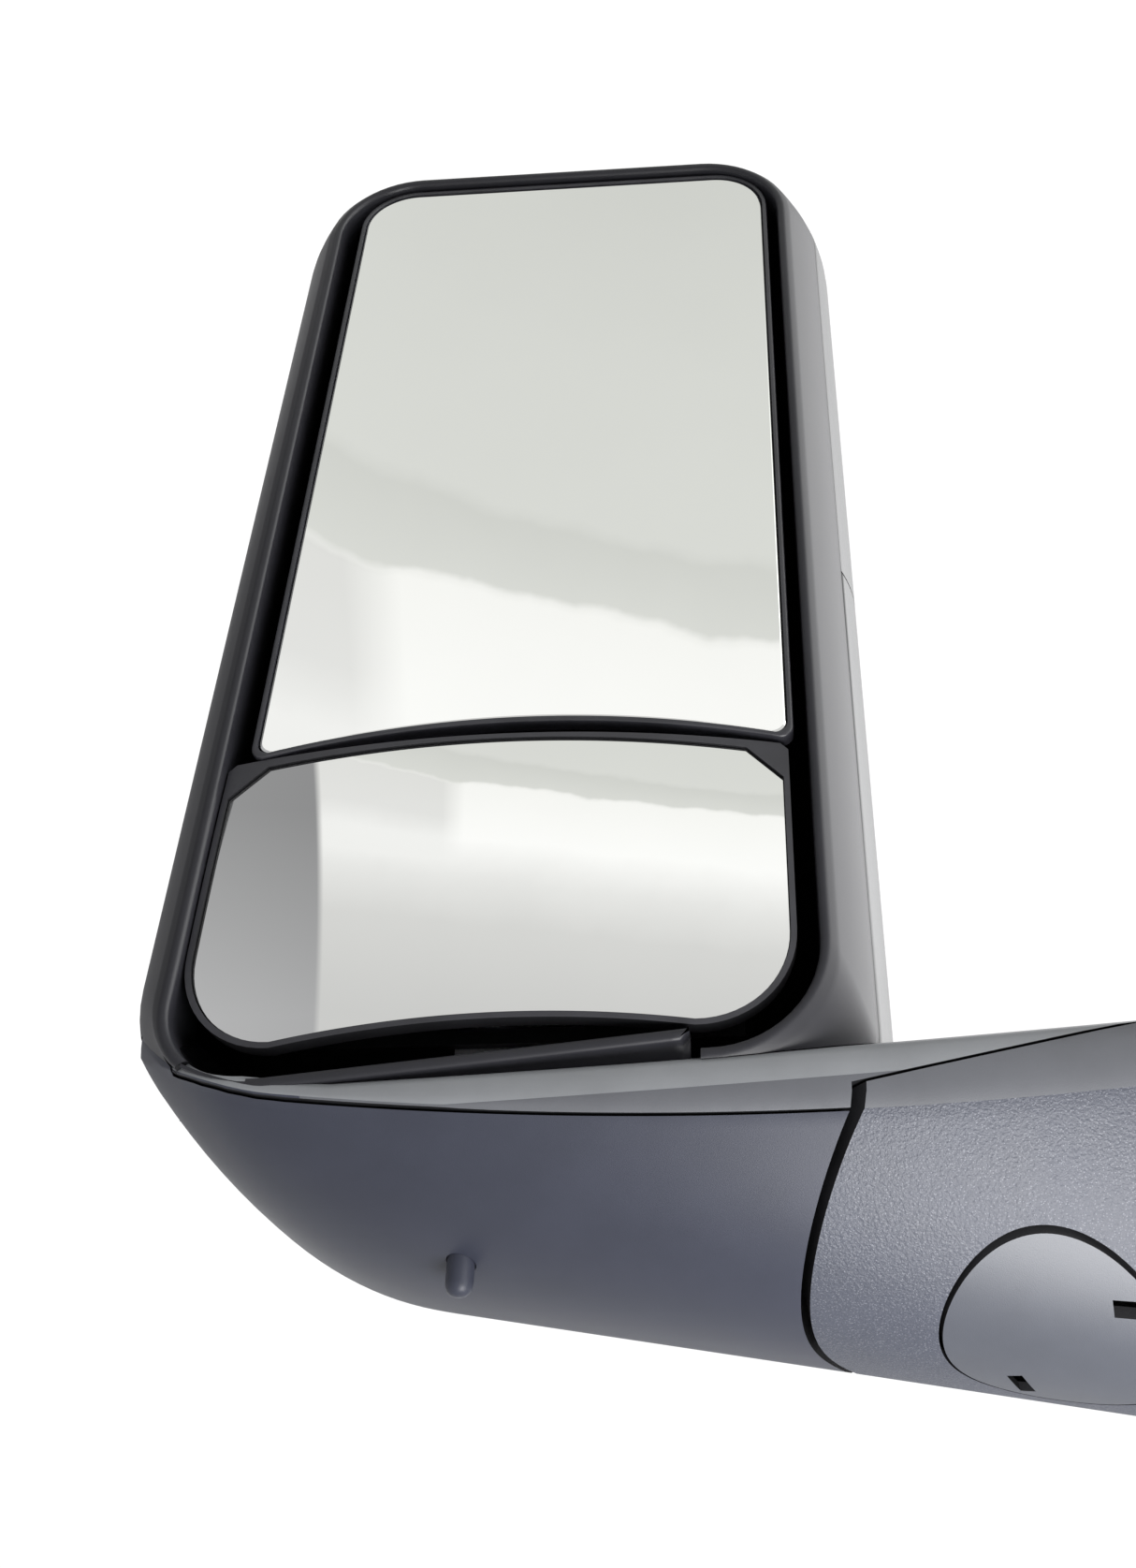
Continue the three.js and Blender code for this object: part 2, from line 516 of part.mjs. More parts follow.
// The bezel: a narrow lip, a flare out to the back covers and a straight wall into the head. It stops either
// side of the stretch of lip that stands on the arm.
function bezel() {
  const ring = loft([
    rimLoop(0, 0.8), rimLoop(0.8, 0), rimLoop(LIP, 0.4), headLoop(5), headLoop(11), headLoop(BEZEL_BACK),
    headLoop(BEZEL_BACK, WALL), headLoop(11, WALL), rimLoop(LIP + 1, 4.5), rimLoop(2.5, RIM_DEPTH),
    rimLoop(0, RIM_DEPTH),
  ], true);
  const { left, right, rise, slope, above } = BEZEL_END;
  const outside = ARM_LEFT - 24;
  const opening = new THREE.Shape();
  opening.moveTo(left, RIM.bottom + above);
  opening.lineTo(left, RIM.bottom + rise);
  opening.lineTo(outside, RIM.bottom + rise + slope * (outside - left));
  opening.lineTo(outside, -FAR);
  opening.lineTo(right, -FAR);
  opening.lineTo(right, RIM.bottom + above);
  return cut(ring, prism(opening, -FAR, FAR), armClear);
}
add("bezel_frame", bezel(), lipBlack);

// Carrier plate behind the glasses, bolted to the mast.
function carrier() {
  const plate = block(-84, 88, CARRIER.front, CARRIER.back, -228, 222);
  const windows = [[110, 205], [-70, -10], [-222, -215]].map(([z0, z1]) => block(-64, 68, 0, 100, z0, z1));
  const posts = coverScrews.map(([x, z]) => fromFront(disc(6, CARRIER.back - 1, HEAD_DEPTH - 14, 12), x, z));
  const made = cut(join(plate, ...posts), ...windows, ...screwHoles);
  return cut(made, block(-MAST.half - 2, MAST.half + 2, CARRIER.back, 80, -300, 140));
}
add("glass_carrier", carrier(), innerBlack);

// ---------------------------------------------------------------- glasses
// The upper glass has round top corners and an arched lower edge.
function upperOutline(grow) {
  const { left, right, top, end, arch, corner } = UPPER;
  const shape = new THREE.Shape();
  const foot = end - grow;
  shape.moveTo(left - grow + 5, foot);
  const half = (right - left) / 2 + grow - 5;
  for (const t of range(-1, 1, 10).slice(1)) {
    shape.lineTo((left + right) / 2 + half * t, foot + arch * (1 - t * t));
  }
  shape.lineTo(right + grow, foot + 5);
  shape.lineTo(right + grow, top - corner);
  shape.absarc(right - corner, top - corner, corner + grow, 0, Math.PI / 2);
  shape.absarc(left + corner, top - corner, corner + grow, Math.PI / 2, Math.PI);
  shape.lineTo(left - grow, foot + 5);
  shape.closePath();
  return shape;
}

// The lower glass has arched top and bottom edges, clipped top corners and large round bottom corners.
function lowerOutline(grow, clip) {
  const { left, right, bottom, end, arch, corner } = LOWER;
  const shape = new THREE.Shape();
  const middle = (left + right) / 2;
  const foot = (right - left) / 2 - corner;
  shape.absarc(left + corner, bottom + corner, corner + grow, Math.PI, 1.5 * Math.PI);
  for (const t of range(-1, 1, 8).slice(1)) {
    const lift = LOWER_FOOT.arch * (1 - t * t) + (LOWER_FOOT.rise * (t + 1)) / 2;
    shape.lineTo(middle + foot * t, bottom - grow + lift);
  }
  const innerFoot = bottom + LOWER_FOOT.rise + corner;
  shape.absarc(right - corner, innerFoot, corner + grow, 1.5 * Math.PI, 2 * Math.PI);
  shape.lineTo(right + grow, end + grow - clip);
  const half = (right - left) / 2 + grow - clip;
  for (const t of range(1, -1, 10)) {
    shape.lineTo(middle + half * t, end + grow + arch * (1 - t * t));
  }
  shape.lineTo(left - grow, end + grow - clip);
  shape.closePath();
  return shape;
}

// A slice of a ball whose nearest point is at a given depth, between two depths, facing the rim.
function bulge(front, back) {
  const rise = (r, depth) => depth + CONVEX - Math.sqrt(CONVEX ** 2 - r * r);
  const radii = range(0, 135, 4);
  const near = radii.map((r) => [r, rise(r, front)]);
  const far = radii.reverse().map((r) => [r, rise(r, back)]);
  const ball = turned([...near, ...far], 20);
  return fromFront(ball, (LOWER.left + LOWER.right) / 2, (LOWER.bottom + LOWER.end) / 2);
}

// Behind each holder, a ring round the swivel and a cup for each jackscrew's tip.
const sockets = (z, from) => [
  fromFront(washer(15.5, 19, from, 17, 24), GLASS_MIDDLE, z),
  fromFront(washer(5, 7.5, from, 15, 16), GLASS_MIDDLE + JACK_ARM, z),
  fromFront(washer(5, 7.5, from, 15, 16), GLASS_MIDDLE, z + JACK_ARM),
];

const glassBack = GLASS_FRONT + GLASS_THICK;
const HEATER = 0.8; // thickness of the heater pads
const PAD_EDGE = 7; // how far inside the glass's edge the pads stop
const CLIP = 14; // how far in the lower glass's top corners are cut off
const LOWER_BACK = HOLDER_BACK - 4; // depth of the lower holder's back, at its middle
function upperHolder() {
  const tray = prism(upperOutline(HOLDER_RIM), GLASS_FRONT - 1, HOLDER_BACK);
  const pocket = prism(upperOutline(GAP), -FAR, glassBack + HEATER + 2 * GAP);
  return join(cut(tray, pocket), ...sockets(UPPER.swivel, HOLDER_BACK - 1));
}
function lowerHolder() {
  const tray = prism(lowerOutline(HOLDER_RIM, 3), -20, 20).intersect(bulge(-1.2, LOWER_BACK));
  const floor = bulge(-20, GLASS_THICK + HEATER + 3 * GAP);
  const pocket = prism(lowerOutline(GAP, CLIP), -20, 20).intersect(floor);
  return join(cut(tray, pocket), ...sockets(LOWER.swivel, LOWER_BACK - GAP));
}
add("upper_glass_holder", upperHolder(), innerBlack);
add("upper_mirror_glass", prism(upperOutline(0), GLASS_FRONT, glassBack), mirrorSilver);
const upperPad = prism(upperOutline(-PAD_EDGE), glassBack + GAP, glassBack + GAP + HEATER);
add("upper_heater_pad", upperPad, heaterFoil);
add("lower_glass_holder", lowerHolder(), innerBlack);
const lowerGlass = prism(lowerOutline(0, CLIP), -20, 30).intersect(bulge(0, GLASS_THICK));
add("lower_mirror_glass", lowerGlass, mirrorSilver);
const lowerPad = bulge(GLASS_THICK + GAP, GLASS_THICK + GAP + HEATER);
add("lower_heater_pad", prism(lowerOutline(-PAD_EDGE, CLIP), -20, 30).intersect(lowerPad), heaterFoil);

// ---------------------------------------------------------------- glass actuators
const ACTUATOR = { half: 44, front: 21, back: CARRIER.front - GAP };
for (const [which, z] of [["upper", UPPER.swivel], ["lower", LOWER.swivel]]) {
  const x = GLASS_MIDDLE;
  const half = which === "upper" ? ACTUATOR.half : ACTUATOR.half - 2;
  const jacks = { pan: [x + JACK_ARM, z], tilt: [x, z + JACK_ARM] };
  const bores = Object.values(jacks).map(([jx, jz]) => fromFront(disc(5, 0, 60, 20), jx, jz));
  const slab = (edge, front, back) => block(x - edge, x + edge, front, back, z - edge, z + edge);
  const body = slab(half, ACTUATOR.front, ACTUATOR.back);
  const hollow = slab(half - WALL, ACTUATOR.front + WALL, ACTUATOR.back + 1);
  const post = fromFront(disc(5, 12.5, ACTUATOR.front + 1, 24), x, z);
  add(`${which}_actuator_housing`, join(cut(body, hollow, ...bores), post), innerBlack);
  add(`${which}_gimbal_ring`, fromFront(washer(8, 12, 12.8, 15.2, 24), x, z), steel);
  for (const [way, [jx, jz]] of Object.entries(jacks)) {
    const jack = turned([[0, 12], [2, 11.2], [3.5, 12.6], [3.5, 34], [0, 34]], 20);
    add(`${which}_${way}_jackscrew`, fromFront(jack, jx, jz), steel);
  }
  const motor = join(disc(7.5, -15, 12, 20), disc(1.6, 12, 17, 12));
  add(`${which}_pan_motor`, moved(motor, x - 22, 33.5, z - 12), motorWhite);
  add(`${which}_tilt_motor`, moved(towardsDoor(motor), x + 6, 33.5, z - 28), motorWhite);
}

// ---------------------------------------------------------------- wiring held inside the mirror
const HARNESS = 2.5; // radius
const nearAxis = (x, y, z) => alongAxis(x, y, z).toArray();
const downTheShaft = [-17, -8, 12, 40, 64].map((z) => nearAxis(0, 0, z));
const baseRoute = [[DOOR.x - 0.5, ...GROMMET_AT], [DOOR.x - 68, 75, -322], [215, 69, -326], ...downTheShaft];
add("base_harness", bar(baseRoute, HARNESS, 30), rubberBlack);
const overTheHub = [[0, 0, 68.8], [-6, -5, 71.8], [-24, -22, 70.5], [-60, -24, 68], [-112, -24, 70]];
const upTheMast = [[40, 50, -236], [36, 58, -205], [34, 58, -150], [34, 58, 40], [34, 54, 60]];
const headRoute = [...overTheHub.map((p) => nearAxis(...p)), ...upTheMast];
add("head_harness", bar(headRoute, HARNESS, 26), rubberBlack);

export default mirror;
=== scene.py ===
import json
import math

import bmesh
import bpy
import numpy as np
from mathutils import Matrix, Vector
from mathutils.bvhtree import BVHTree


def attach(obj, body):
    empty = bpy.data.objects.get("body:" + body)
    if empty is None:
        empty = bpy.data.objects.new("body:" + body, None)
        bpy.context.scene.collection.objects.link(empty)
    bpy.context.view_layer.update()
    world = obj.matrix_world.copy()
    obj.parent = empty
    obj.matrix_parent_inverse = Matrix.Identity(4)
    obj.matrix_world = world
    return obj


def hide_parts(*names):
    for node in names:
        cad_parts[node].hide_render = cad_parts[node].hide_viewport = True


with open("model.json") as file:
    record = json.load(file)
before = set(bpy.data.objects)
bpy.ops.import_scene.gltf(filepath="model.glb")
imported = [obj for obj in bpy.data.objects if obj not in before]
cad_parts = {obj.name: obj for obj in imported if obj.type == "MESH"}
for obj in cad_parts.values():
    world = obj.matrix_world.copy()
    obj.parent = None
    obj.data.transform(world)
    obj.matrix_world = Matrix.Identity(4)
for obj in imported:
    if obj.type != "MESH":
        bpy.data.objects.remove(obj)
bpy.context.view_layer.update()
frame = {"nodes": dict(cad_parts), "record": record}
NODES = frame["nodes"]

# ------------------------------------------------------------------ dimensions
# Millimetres in head coordinates, as in the part's source: X to the door, Y forward, Z up, origin at the
# centre of the rim opening. DOOR is the row's origin in those coordinates.
DOOR = np.array((330.0, 72.0, -300.0))
# FAR is beyond every part, for cutting forms. SHUT is the joint between two covers, GAP the clearance where
# other parts meet, and the holes are radii.
FAR = 600.0
WALL = 3.0
SHUT = 1.0
GAP = 0.4
SCREW_HOLE, DOOR_SCREW_HOLE = 3.0, 3.4

# The rim, and the head behind it. Its outer lower corner is tighter and hangs lower than the other three.
RIM_LEFT, RIM_RIGHT, RIM_BOTTOM, RIM_TOP, RIM_CORNER = -114.5, 116.5, -250.0, 254.0, 40.0
FOOT_CORNER, FOOT_DROP = 28.0, 5.0
LIP = 4.5
RIM_DEPTH = 26.0
BEZEL_BACK = 22.0
HEAD_DEPTH, HEAD_WIDEST = 142.0, 60.0
FLARE_LEFT, FLARE_RIGHT, FLARE_TOP, FLARE_BOTTOM, FLARE_CORNER = 25.8, 22.5, 4.0, 9.0, 14.0
# How far the back closes in towards HEAD_DEPTH, and the share of that depth where it stops.
CLOSE_SIDES, CLOSE_TOP, CLOSE_BOTTOM, CLOSE_END = 70.0, 60.0, 10.0, 0.98
# The inner lower corner tightens with depth.
TUCK_CORNER, TUCK_SLOPE = 22.0, 1.2
COVER_SPLIT, COVER_FOOT = -20.0, -262.0
COVER_SCREWS = [(-62, 150), (62, 150), (-62, -90), (62, -90)]

# The arm, from its rounded outer end to the door. Left of OUTER_END the lower shell is the whole section.
# From FOOT_LEFT to FOOT_RIGHT the arm's top cover carries the rim's lower edge. Left of BAND_LEFT the band
# over the seam has the lower shell's finish. MAST_HOLE is left, right, front, back, bottom and top.
ARM_LEFT, ARM_ROUND = -136.0, 6.0
ARM_BACK = 132.0
KEEL_DEPTH = 111.0
CROWN = 16.0
SEAM_BACK = 2.5
BAND_HEIGHT = 11.0
OUTER_END = -111.0
ARM_SCREWS = [(-20, -276), (80, -280)]
DOOR_SCREWS = [(256, 104), (302, 104)]
FOOT_LEFT, FOOT_RIGHT = -105.5, 70.0
BAND_LEFT = -60.0
MAST_HOLE = (-30.0, 50.0, 42.0, 96.0, -262.0, -200.0)

# The leaning pivot between the folding arm and the fixed one. Heights run along its axis.
TILT = math.radians(11)
PIVOT = np.array((186.5, 65.0, -310.0))
PARTING = 56.0
NOSE, NOSE_GAP = 80.3, 3.0
LID = 86.5
RECESS = LID + 1.5 * SHUT
CAP, CAP_GAP, CAP_TOP = 37.6, 1.3, 25.0
HUB_HOLE, HUB_TOP = 33.0, 66.0

# The glasses and their holders. The lower glass is part of a sphere, and is shaded as part of a tighter one.
# end is a glass's edge next to the other glass, arch is how far that edge bends, and swivel is the height of
# the ball it turns on.
GLASS_FRONT, GLASS_THICK = 4.0, 2.2
HOLDER_RIM, HOLDER_BACK = 2.6, 10.0
CONVEX, CONVEX_SHADING = 1200.0, 600.0
DOME_RADIUS = 135.0
UPPER = dict(left=-103.0, right=108.5, top=249.0, end=-118.5, arch=12.5, corner=26.0, swivel=66.0)
LOWER = dict(left=-111.0, right=106.0, bottom=-242.0, end=-125.5, arch=7.0, corner=34.0, swivel=-178.0)
UPPER_FOOT_CORNER = 5.0
LOWER_ARCH, LOWER_RISE, LOWER_CLIP = 5.5, 3.5, 14.0
GLASS_MIDDLE = 2.0
JACK_ARM = 32.0
SENSOR_X, SENSOR_Y, SENSOR_RADIUS, SENSOR_TOP, SENSOR_TIP = -15.0, 57.0, 5.0, -293.2, -317.0
PROBE_HOLE = (-330.0, -280.0)

# Finish numbers of a piece's faces: MAIN on its first form, SECOND on its second and INSIDE where it is cut.
# The cut faces take a near-black finish: painted shade on the walls of gaps, slots and open ends. A piece
# with more finishes than that is repainted.
MAIN, INSIDE, SECOND, THIRD, FOURTH = range(5)
# A face is on a form if it is this near and this parallel. A corner whose smooth normal turns too far from
# its face stays flat. A piece without a form is smooth but for edges over SHARP_EDGE.
NEAR_FORM, PARALLEL, SMOOTH_ENOUGH = 0.1, 0.9, 0.5
SHARP_EDGE = math.radians(40)


# ------------------------------------------------------------------ meshes
def new_object(points, faces):
    mesh = bpy.data.meshes.new("form")
    mesh.from_pydata([tuple(p) for p in points], [], faces)
    mesh.update()
    obj = bpy.data.objects.new("form", mesh)
    bpy.context.scene.collection.objects.link(obj)
    work = bmesh.new()
    work.from_mesh(mesh)
    if work.calc_volume(signed=True) < 0:
        bmesh.ops.reverse_faces(work, faces=work.faces)
    work.to_mesh(mesh)
    work.free()
    return obj


def loft(loops, ring=False):
    """Quads between neighbouring loops; a tube's ends are closed by fans."""
    loops = [np.asarray(loop, float) for loop in loops]
    count = len(loops[0])
    points = list(np.vstack(loops))
    faces = []
    for i in range(len(loops) if ring else len(loops) - 1):
        a, b = i * count, ((i + 1) % len(loops)) * count
        for j in range(count):
            k = (j + 1) % count
            faces.append((a + j, b + j, b + k, a + k))
    if not ring:
        for start, flip in ((0, False), ((len(loops) - 1) * count, True)):
            points.append(np.mean(points[start : start + count], axis=0))
            for j in range(count):
                edge = (start + j, start + (j + 1) % count)
                faces.append((len(points) - 1, *(edge[::-1] if flip else edge)))
    return new_object(points, faces)


def box(x0, x1, y0, y1, z0, z1):
    return loft([[(x0, y0, z), (x1, y0, z), (x1, y1, z), (x0, y1, z)] for z in (z0, z1)])


def layer(bottom, top):
    """Everything between two heights."""
    return box(-FAR, FAR, -FAR, FAR, bottom, top)


def turned(profile, sides):
    """A turned solid about +Z from a closed profile of (radius, height), a ring unless it starts at 0."""
    angles = np.linspace(0, 2 * math.pi, sides, endpoint=False)
    loops = []
    for r, z in profile:
        radius = max(r, 1e-4)
        loops.append([(radius * math.cos(a), radius * math.sin(a), z) for a in angles])
    return loft(loops, ring=profile[0][0] != 0)


def disc(radius, bottom, top, sides):
    return turned([(0, bottom), (radius, bottom), (radius, top), (0, top)], sides)


def prism(outline, front, back):
    """An outline of (x, z) points taken from one depth to another."""
    return loft([[(x, y, z) for x, z in outline] for y in (front, back)])


def placed(obj, matrix):
    obj.data.transform(matrix)
    return obj


def at(x, y, z):
    return Matrix.Translation((x, y, z))


ON_AXIS = at(*PIVOT) @ Matrix.Rotation(-TILT, 4, "Y")


def in_depth(obj, x, z):
    """Turn a form about +Z so that its heights become depths, and centre it on (x, z)."""
    return placed(placed(obj, Matrix.Rotation(-math.pi / 2, 4, "X")), at(x, 0, z))


def combine(first, others, how):
    for other in others:
        modifier = first.modifiers.new("join", "BOOLEAN")
        modifier.operation = how
        modifier.solver = "MANIFOLD"
        modifier.object = other
        graph = bpy.context.evaluated_depsgraph_get()
        made = bpy.data.meshes.new_from_object(first.evaluated_get(graph))
        first.modifiers.clear()
        first.data = made
        bpy.data.objects.remove(other)
    return first


def cut(first, *others):
    return combine(first, others, "DIFFERENCE")


def join(first, *others):
    return combine(first, others, "UNION")


def common(first, *others):
    return combine(first, others, "INTERSECT")


# ------------------------------------------------------------------ the arm's envelope
# Its depths and heights over x are those of the part's source. Most are nearly straight lines that curl in
# towards the outer end.
def left_of(x, start):
    return max(0.0, start - x)


def arm_front(x):
    return 0.012 * left_of(x, -88) ** 2


def arm_rear(x):
    return ARM_BACK - 0.005 * left_of(x, -40) ** 2


def arm_keel(x):
    return -314.9 - 0.163 * x + 0.000655 * left_of(x, -26) ** 2.4


def arm_seam(x):
    return -273 + 0.00035 * (min(x, 217) - 95) ** 2 + 0.0045 * left_of(x, -71) ** 2


def arm_crest(x):
    return -256.6 + 0.038 * (x + 5) + 0.00006 * (x + 5) ** 2 + 0.008 * left_of(x, -62) ** 2


def crease(crest, seam):
    """The height where the crest ends and the narrow band over the seam starts."""
    return max(crest - BAND_HEIGHT, seam + 1)


def arm_section(x, inset):
    """The arm's section at x: down the front, under to the keel, up the rounded back, over the crown."""
    front, rear, keel = arm_front(x), arm_rear(x), arm_keel(x)
    seam = max(arm_seam(x), keel + 4)
    crest = max(arm_crest(x), seam + 7)
    low = crease(crest, seam)
    keel_at = front + (rear - front) * KEEL_DEPTH / ARM_BACK
    points = [(front + 3, crest), (front + 1.1, crest - 1.1), (front + 0.2, crest - 3)]
    points += [(front, (crest - 4 + low) / 2), (front, low), (front + 0.9, (low + seam) / 2)]
    points.append((front + SEAM_BACK, seam))
    for u in np.linspace(0, 1, 33)[1:]:
        y = front + SEAM_BACK + (keel_at - front - SEAM_BACK) * u
        points.append((y, seam + (keel - seam) * (1 - (1 - u) ** 2.6)))
    shoulder = seam - 6
    for a in np.linspace(0, math.pi / 2, 13)[1:]:
        y = keel_at + (rear - keel_at) * math.sin(a)
        points.append((y, shoulder + (keel - shoulder) * math.cos(a)))
    crown = CROWN - 0.025 * left_of(x, 100)
    span = rear - front - 12
    for u in np.linspace(1, 0, 17)[:-1]:
        points.append((front + 3 + span * u, crest + crown * 4 * u * (1 - u) - 6 * u))
    line = np.array(points)
    along = np.roll(line, -1, 0) - np.roll(line, 1, 0)
    along /= np.linalg.norm(along, axis=1)[:, None]
    depths = line[:, 0] - along[:, 1] * inset
    heights = line[:, 1] + along[:, 0] * inset
    return np.column_stack((np.full(len(line), x), depths, heights))


def arm_form(inset, left, right, fine=True):
    """The arm's envelope moved inwards by inset, with its left end rounded over."""
    start = left + ARM_ROUND
    loops = []
    for t in np.linspace(1, 0, 7 if fine else 3)[:-1]:
        a = t * math.pi / 2
        loops.append(arm_section(start - ARM_ROUND * math.sin(a), inset + ARM_ROUND * (1 - math.cos(a))))
    stations = np.arange(start, right - 1, 5.0 if fine else 12.0)
    loops += [arm_section(x, inset) for x in [*stations, right]]
    return loft(loops)


def arm_outer():
    return arm_form(0, ARM_LEFT - 2, DOOR[0] - 4)


def arm_inner():
    return arm_form(WALL, OUTER_END + 2, DOOR[0], fine=False)


def arm_clearance():
    """The room that the head's covers leave for the arm."""
    return join(arm_form(-GAP, ARM_LEFT - 1, DOOR[0]), placed(arm_outer(), at(-GAP, -GAP, 0)))


def below(line, left, right):
    """Everything under a line of height over x."""
    outline = [(left, -FAR), (right, -FAR)]
    outline += [(x, line(x)) for x in np.linspace(right, left, 60)]
    return prism(outline, -FAR, FAR)


def folding_space(inset):
    """What belongs to the folding arm: left of the pivot, and the round lid over the fixed arm's nose."""
    half = box(-FAR, 0, -FAR, FAR, -FAR, FAR)
    keep_out = disc(NOSE + NOSE_GAP + inset, -FAR - 1, PARTING + SHUT + inset, 144)
    lid = disc(LID - inset, PARTING + SHUT + inset, FAR - 1, 144)
    return placed(join(cut(half, keep_out), lid), ON_AXIS)


def fixed_space(inset):
    """What belongs to the fixed arm: right of the pivot under the lid, and its round nose."""
    half = box(inset, FAR, -FAR, FAR, -FAR, FAR)
    above = disc(RECESS + inset, PARTING - inset, FAR + 1, 144)
    end = disc(NOSE - inset, -FAR + 1, PARTING - inset, 144)
    return placed(join(cut(half, above), end), ON_AXIS)


# ------------------------------------------------------------------ the head's envelope
def outline_loop(left, right, bottom, top, corners, drop, depth):
    """A rounded rectangle with its corners' radii from the top right; drop lowers the bottom left one."""
    top_right, top_left, bottom_left, bottom_right = corners
    centres = [
        (right - top_right, top - top_right, top_right),
        (left + top_left, top - top_left, top_left),
        (left + bottom_left, bottom - drop + bottom_left, bottom_left),
        (right - bottom_right, bottom + bottom_right, bottom_right),
    ]
    points = []
    for quarter, (x, z, r) in enumerate(centres):
        for a in np.linspace(0, math.pi / 2, 15) + quarter * math.pi / 2:
            points.append((x + r * math.cos(a), depth, z + r * math.sin(a)))
    return points


def rim_loop(offset, depth):
    sides = (RIM_LEFT - offset, RIM_RIGHT + offset, RIM_BOTTOM - offset, RIM_TOP + offset)
    corners = [corner + offset for corner in (RIM_CORNER, RIM_CORNER, FOOT_CORNER, RIM_CORNER)]
    return outline_loop(*sides, corners, FOOT_DROP, depth)


def head_loop(depth, inset=0.0):
    """The head's outline at a depth: it flares from the lip to HEAD_WIDEST, then closes to its back."""
    front = max(0.0, 1 - depth / HEAD_WIDEST)
    back = min(CLOSE_END, max(0.0, depth - HEAD_WIDEST) / (HEAD_DEPTH - HEAD_WIDEST))
    close = 1 - math.sqrt(1 - back * back)
    side = 1 - front**2.4
    level = 1 - front**2
    left = LIP + FLARE_LEFT * side - CLOSE_SIDES * close - inset
    right = LIP + FLARE_RIGHT * side - CLOSE_SIDES * close - inset
    rise = LIP + FLARE_TOP * level - CLOSE_TOP * close - inset
    fall = LIP + FLARE_BOTTOM * level - CLOSE_BOTTOM * close - inset
    corner = RIM_CORNER + LIP + FLARE_CORNER * (1 - front) - inset
    tuck = max(TUCK_CORNER, RIM_CORNER + LIP - TUCK_SLOPE * depth) - inset
    # The tight outer lower corner fades out just behind the rim.
    sharp = front**6
    foot = corner - (RIM_CORNER - FOOT_CORNER) * sharp
    sides = (RIM_LEFT - left, RIM_RIGHT + right, RIM_BOTTOM - fall, RIM_TOP + rise)
    return outline_loop(*sides, [corner, corner, foot, tuck], FOOT_DROP * sharp, depth)


def head_form(depths, inset=0.0):
    return loft([head_loop(y, inset) for y in depths])


# ------------------------------------------------------------------ finishing a piece
def surface_of(form):
    """A form's faces in a search tree, with its smooth vertex normals; the form itself is removed."""
    points = [v.co.copy() for v in form.data.vertices]
    normals = [n.vector.copy() for n in form.data.vertex_normals]
    polygons = [tuple(p.vertices) for p in form.data.polygons]
    bpy.data.objects.remove(form)
    return BVHTree.FromPolygons(points, polygons), points, normals, polygons


def smooth_normal(surface, point):
    """The surface's normal nearest to a point, mixed from the corners of the face there."""
    tree, points, normals, polygons = surface
    nearest, _, face, _ = tree.find_nearest(point)
    total = Vector()
    for corner in polygons[face]:
        weight = 1 / ((points[corner] - nearest).length + 1e-5) ** 2
        total += normals[corner] * weight
    total.normalize()
    return total


def smooth_normals(obj, *forms):
    """Shade the faces that lie on a form with the form's own smooth normals; cut faces stay flat."""
    surfaces = [surface_of(form) for form in forms]
    mesh = obj.data
    shading = [None] * len(mesh.loops)
    for polygon in mesh.polygons:
        polygon.use_smooth = True
        # A face on no form is a cut face, and takes the near-black painted shade.
        polygon.material_index = INSIDE
        surface, sign = None, 1
        for number, candidate in zip((MAIN, SECOND), surfaces):
            _, normal, _, distance = candidate[0].find_nearest(polygon.center)
            facing = normal.dot(polygon.normal)
            if distance < NEAR_FORM and abs(facing) > PARALLEL:
                surface = candidate
                sign = 1 if facing > 0 else -1
                polygon.material_index = number
                break
        for index in polygon.loop_indices:
            shading[index] = polygon.normal
            if surface:
                normal = smooth_normal(surface, mesh.vertices[mesh.loops[index].vertex_index].co)
                if normal.dot(polygon.normal) * sign > SMOOTH_ENOUGH:
                    shading[index] = normal * sign
    mesh.normals_split_custom_set(shading)


def smooth_by_angle(obj):
    for polygon in obj.data.polygons:
        polygon.use_smooth = True
    work = bmesh.new()
    work.from_mesh(obj.data)
    for edge in work.edges:
        if len(edge.link_faces) == 2 and edge.calc_face_angle() > SHARP_EDGE:
            edge.smooth = False
    work.to_mesh(obj.data)
    work.free()


def repaint(obj, choose):
    """Give the faces on the first form the finish number that choose(x, z) returns."""
    for polygon in obj.data.polygons:
        if polygon.material_index == MAIN:
            polygon.material_index = choose(polygon.center.x, polygon.center.z)


def finish_piece(obj, name, body, slot, node, finish, *more_finishes):
    """Bring a piece from millimetres into the frame, give it its finishes, hang it on its body and hide the
    part it stands for.
    """
    obj.name = name
    obj.data.name = name
    obj.data.transform(Matrix.Scale(0.001, 4) @ at(*-DOOR))
    numbers = [polygon.material_index for polygon in obj.data.polygons]
    obj.data.materials.clear()
    # Slot 1 is the near-black finish: painted shade on the cut faces.
    for made in (finish, INNER_BLACK_AND_CUT_SHADE, *more_finishes):
        obj.data.materials.append(made)
    obj.data.polygons.foreach_set("material_index", numbers)
    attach(obj, body)
    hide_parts(node)


# ------------------------------------------------------------------ materials
def linked_node(tree, kind, links, **values):
    """A shader node with some sockets linked and others set, both by socket name."""
    node = tree.nodes.new(kind)
    for socket, value in values.items():
        node.inputs[socket.replace("_", " ")].default_value = value
    for socket, source in links.items():
        tree.links.new(source, node.inputs[socket])
    return node


def color_ramp(tree, value, stops):
    """A value turned into a colour by stops of (place, colour)."""
    node = linked_node(tree, "ShaderNodeValToRGB", {"Fac": value})
    elements = node.color_ramp.elements
    elements[0].position, elements[1].position = stops[0][0], stops[-1][0]
    for place, _ in stops[1:-1]:
        elements.new(place)
    for element, (_, color) in zip(elements, stops):
        element.color = (*color, 1)
    return node.outputs["Color"]


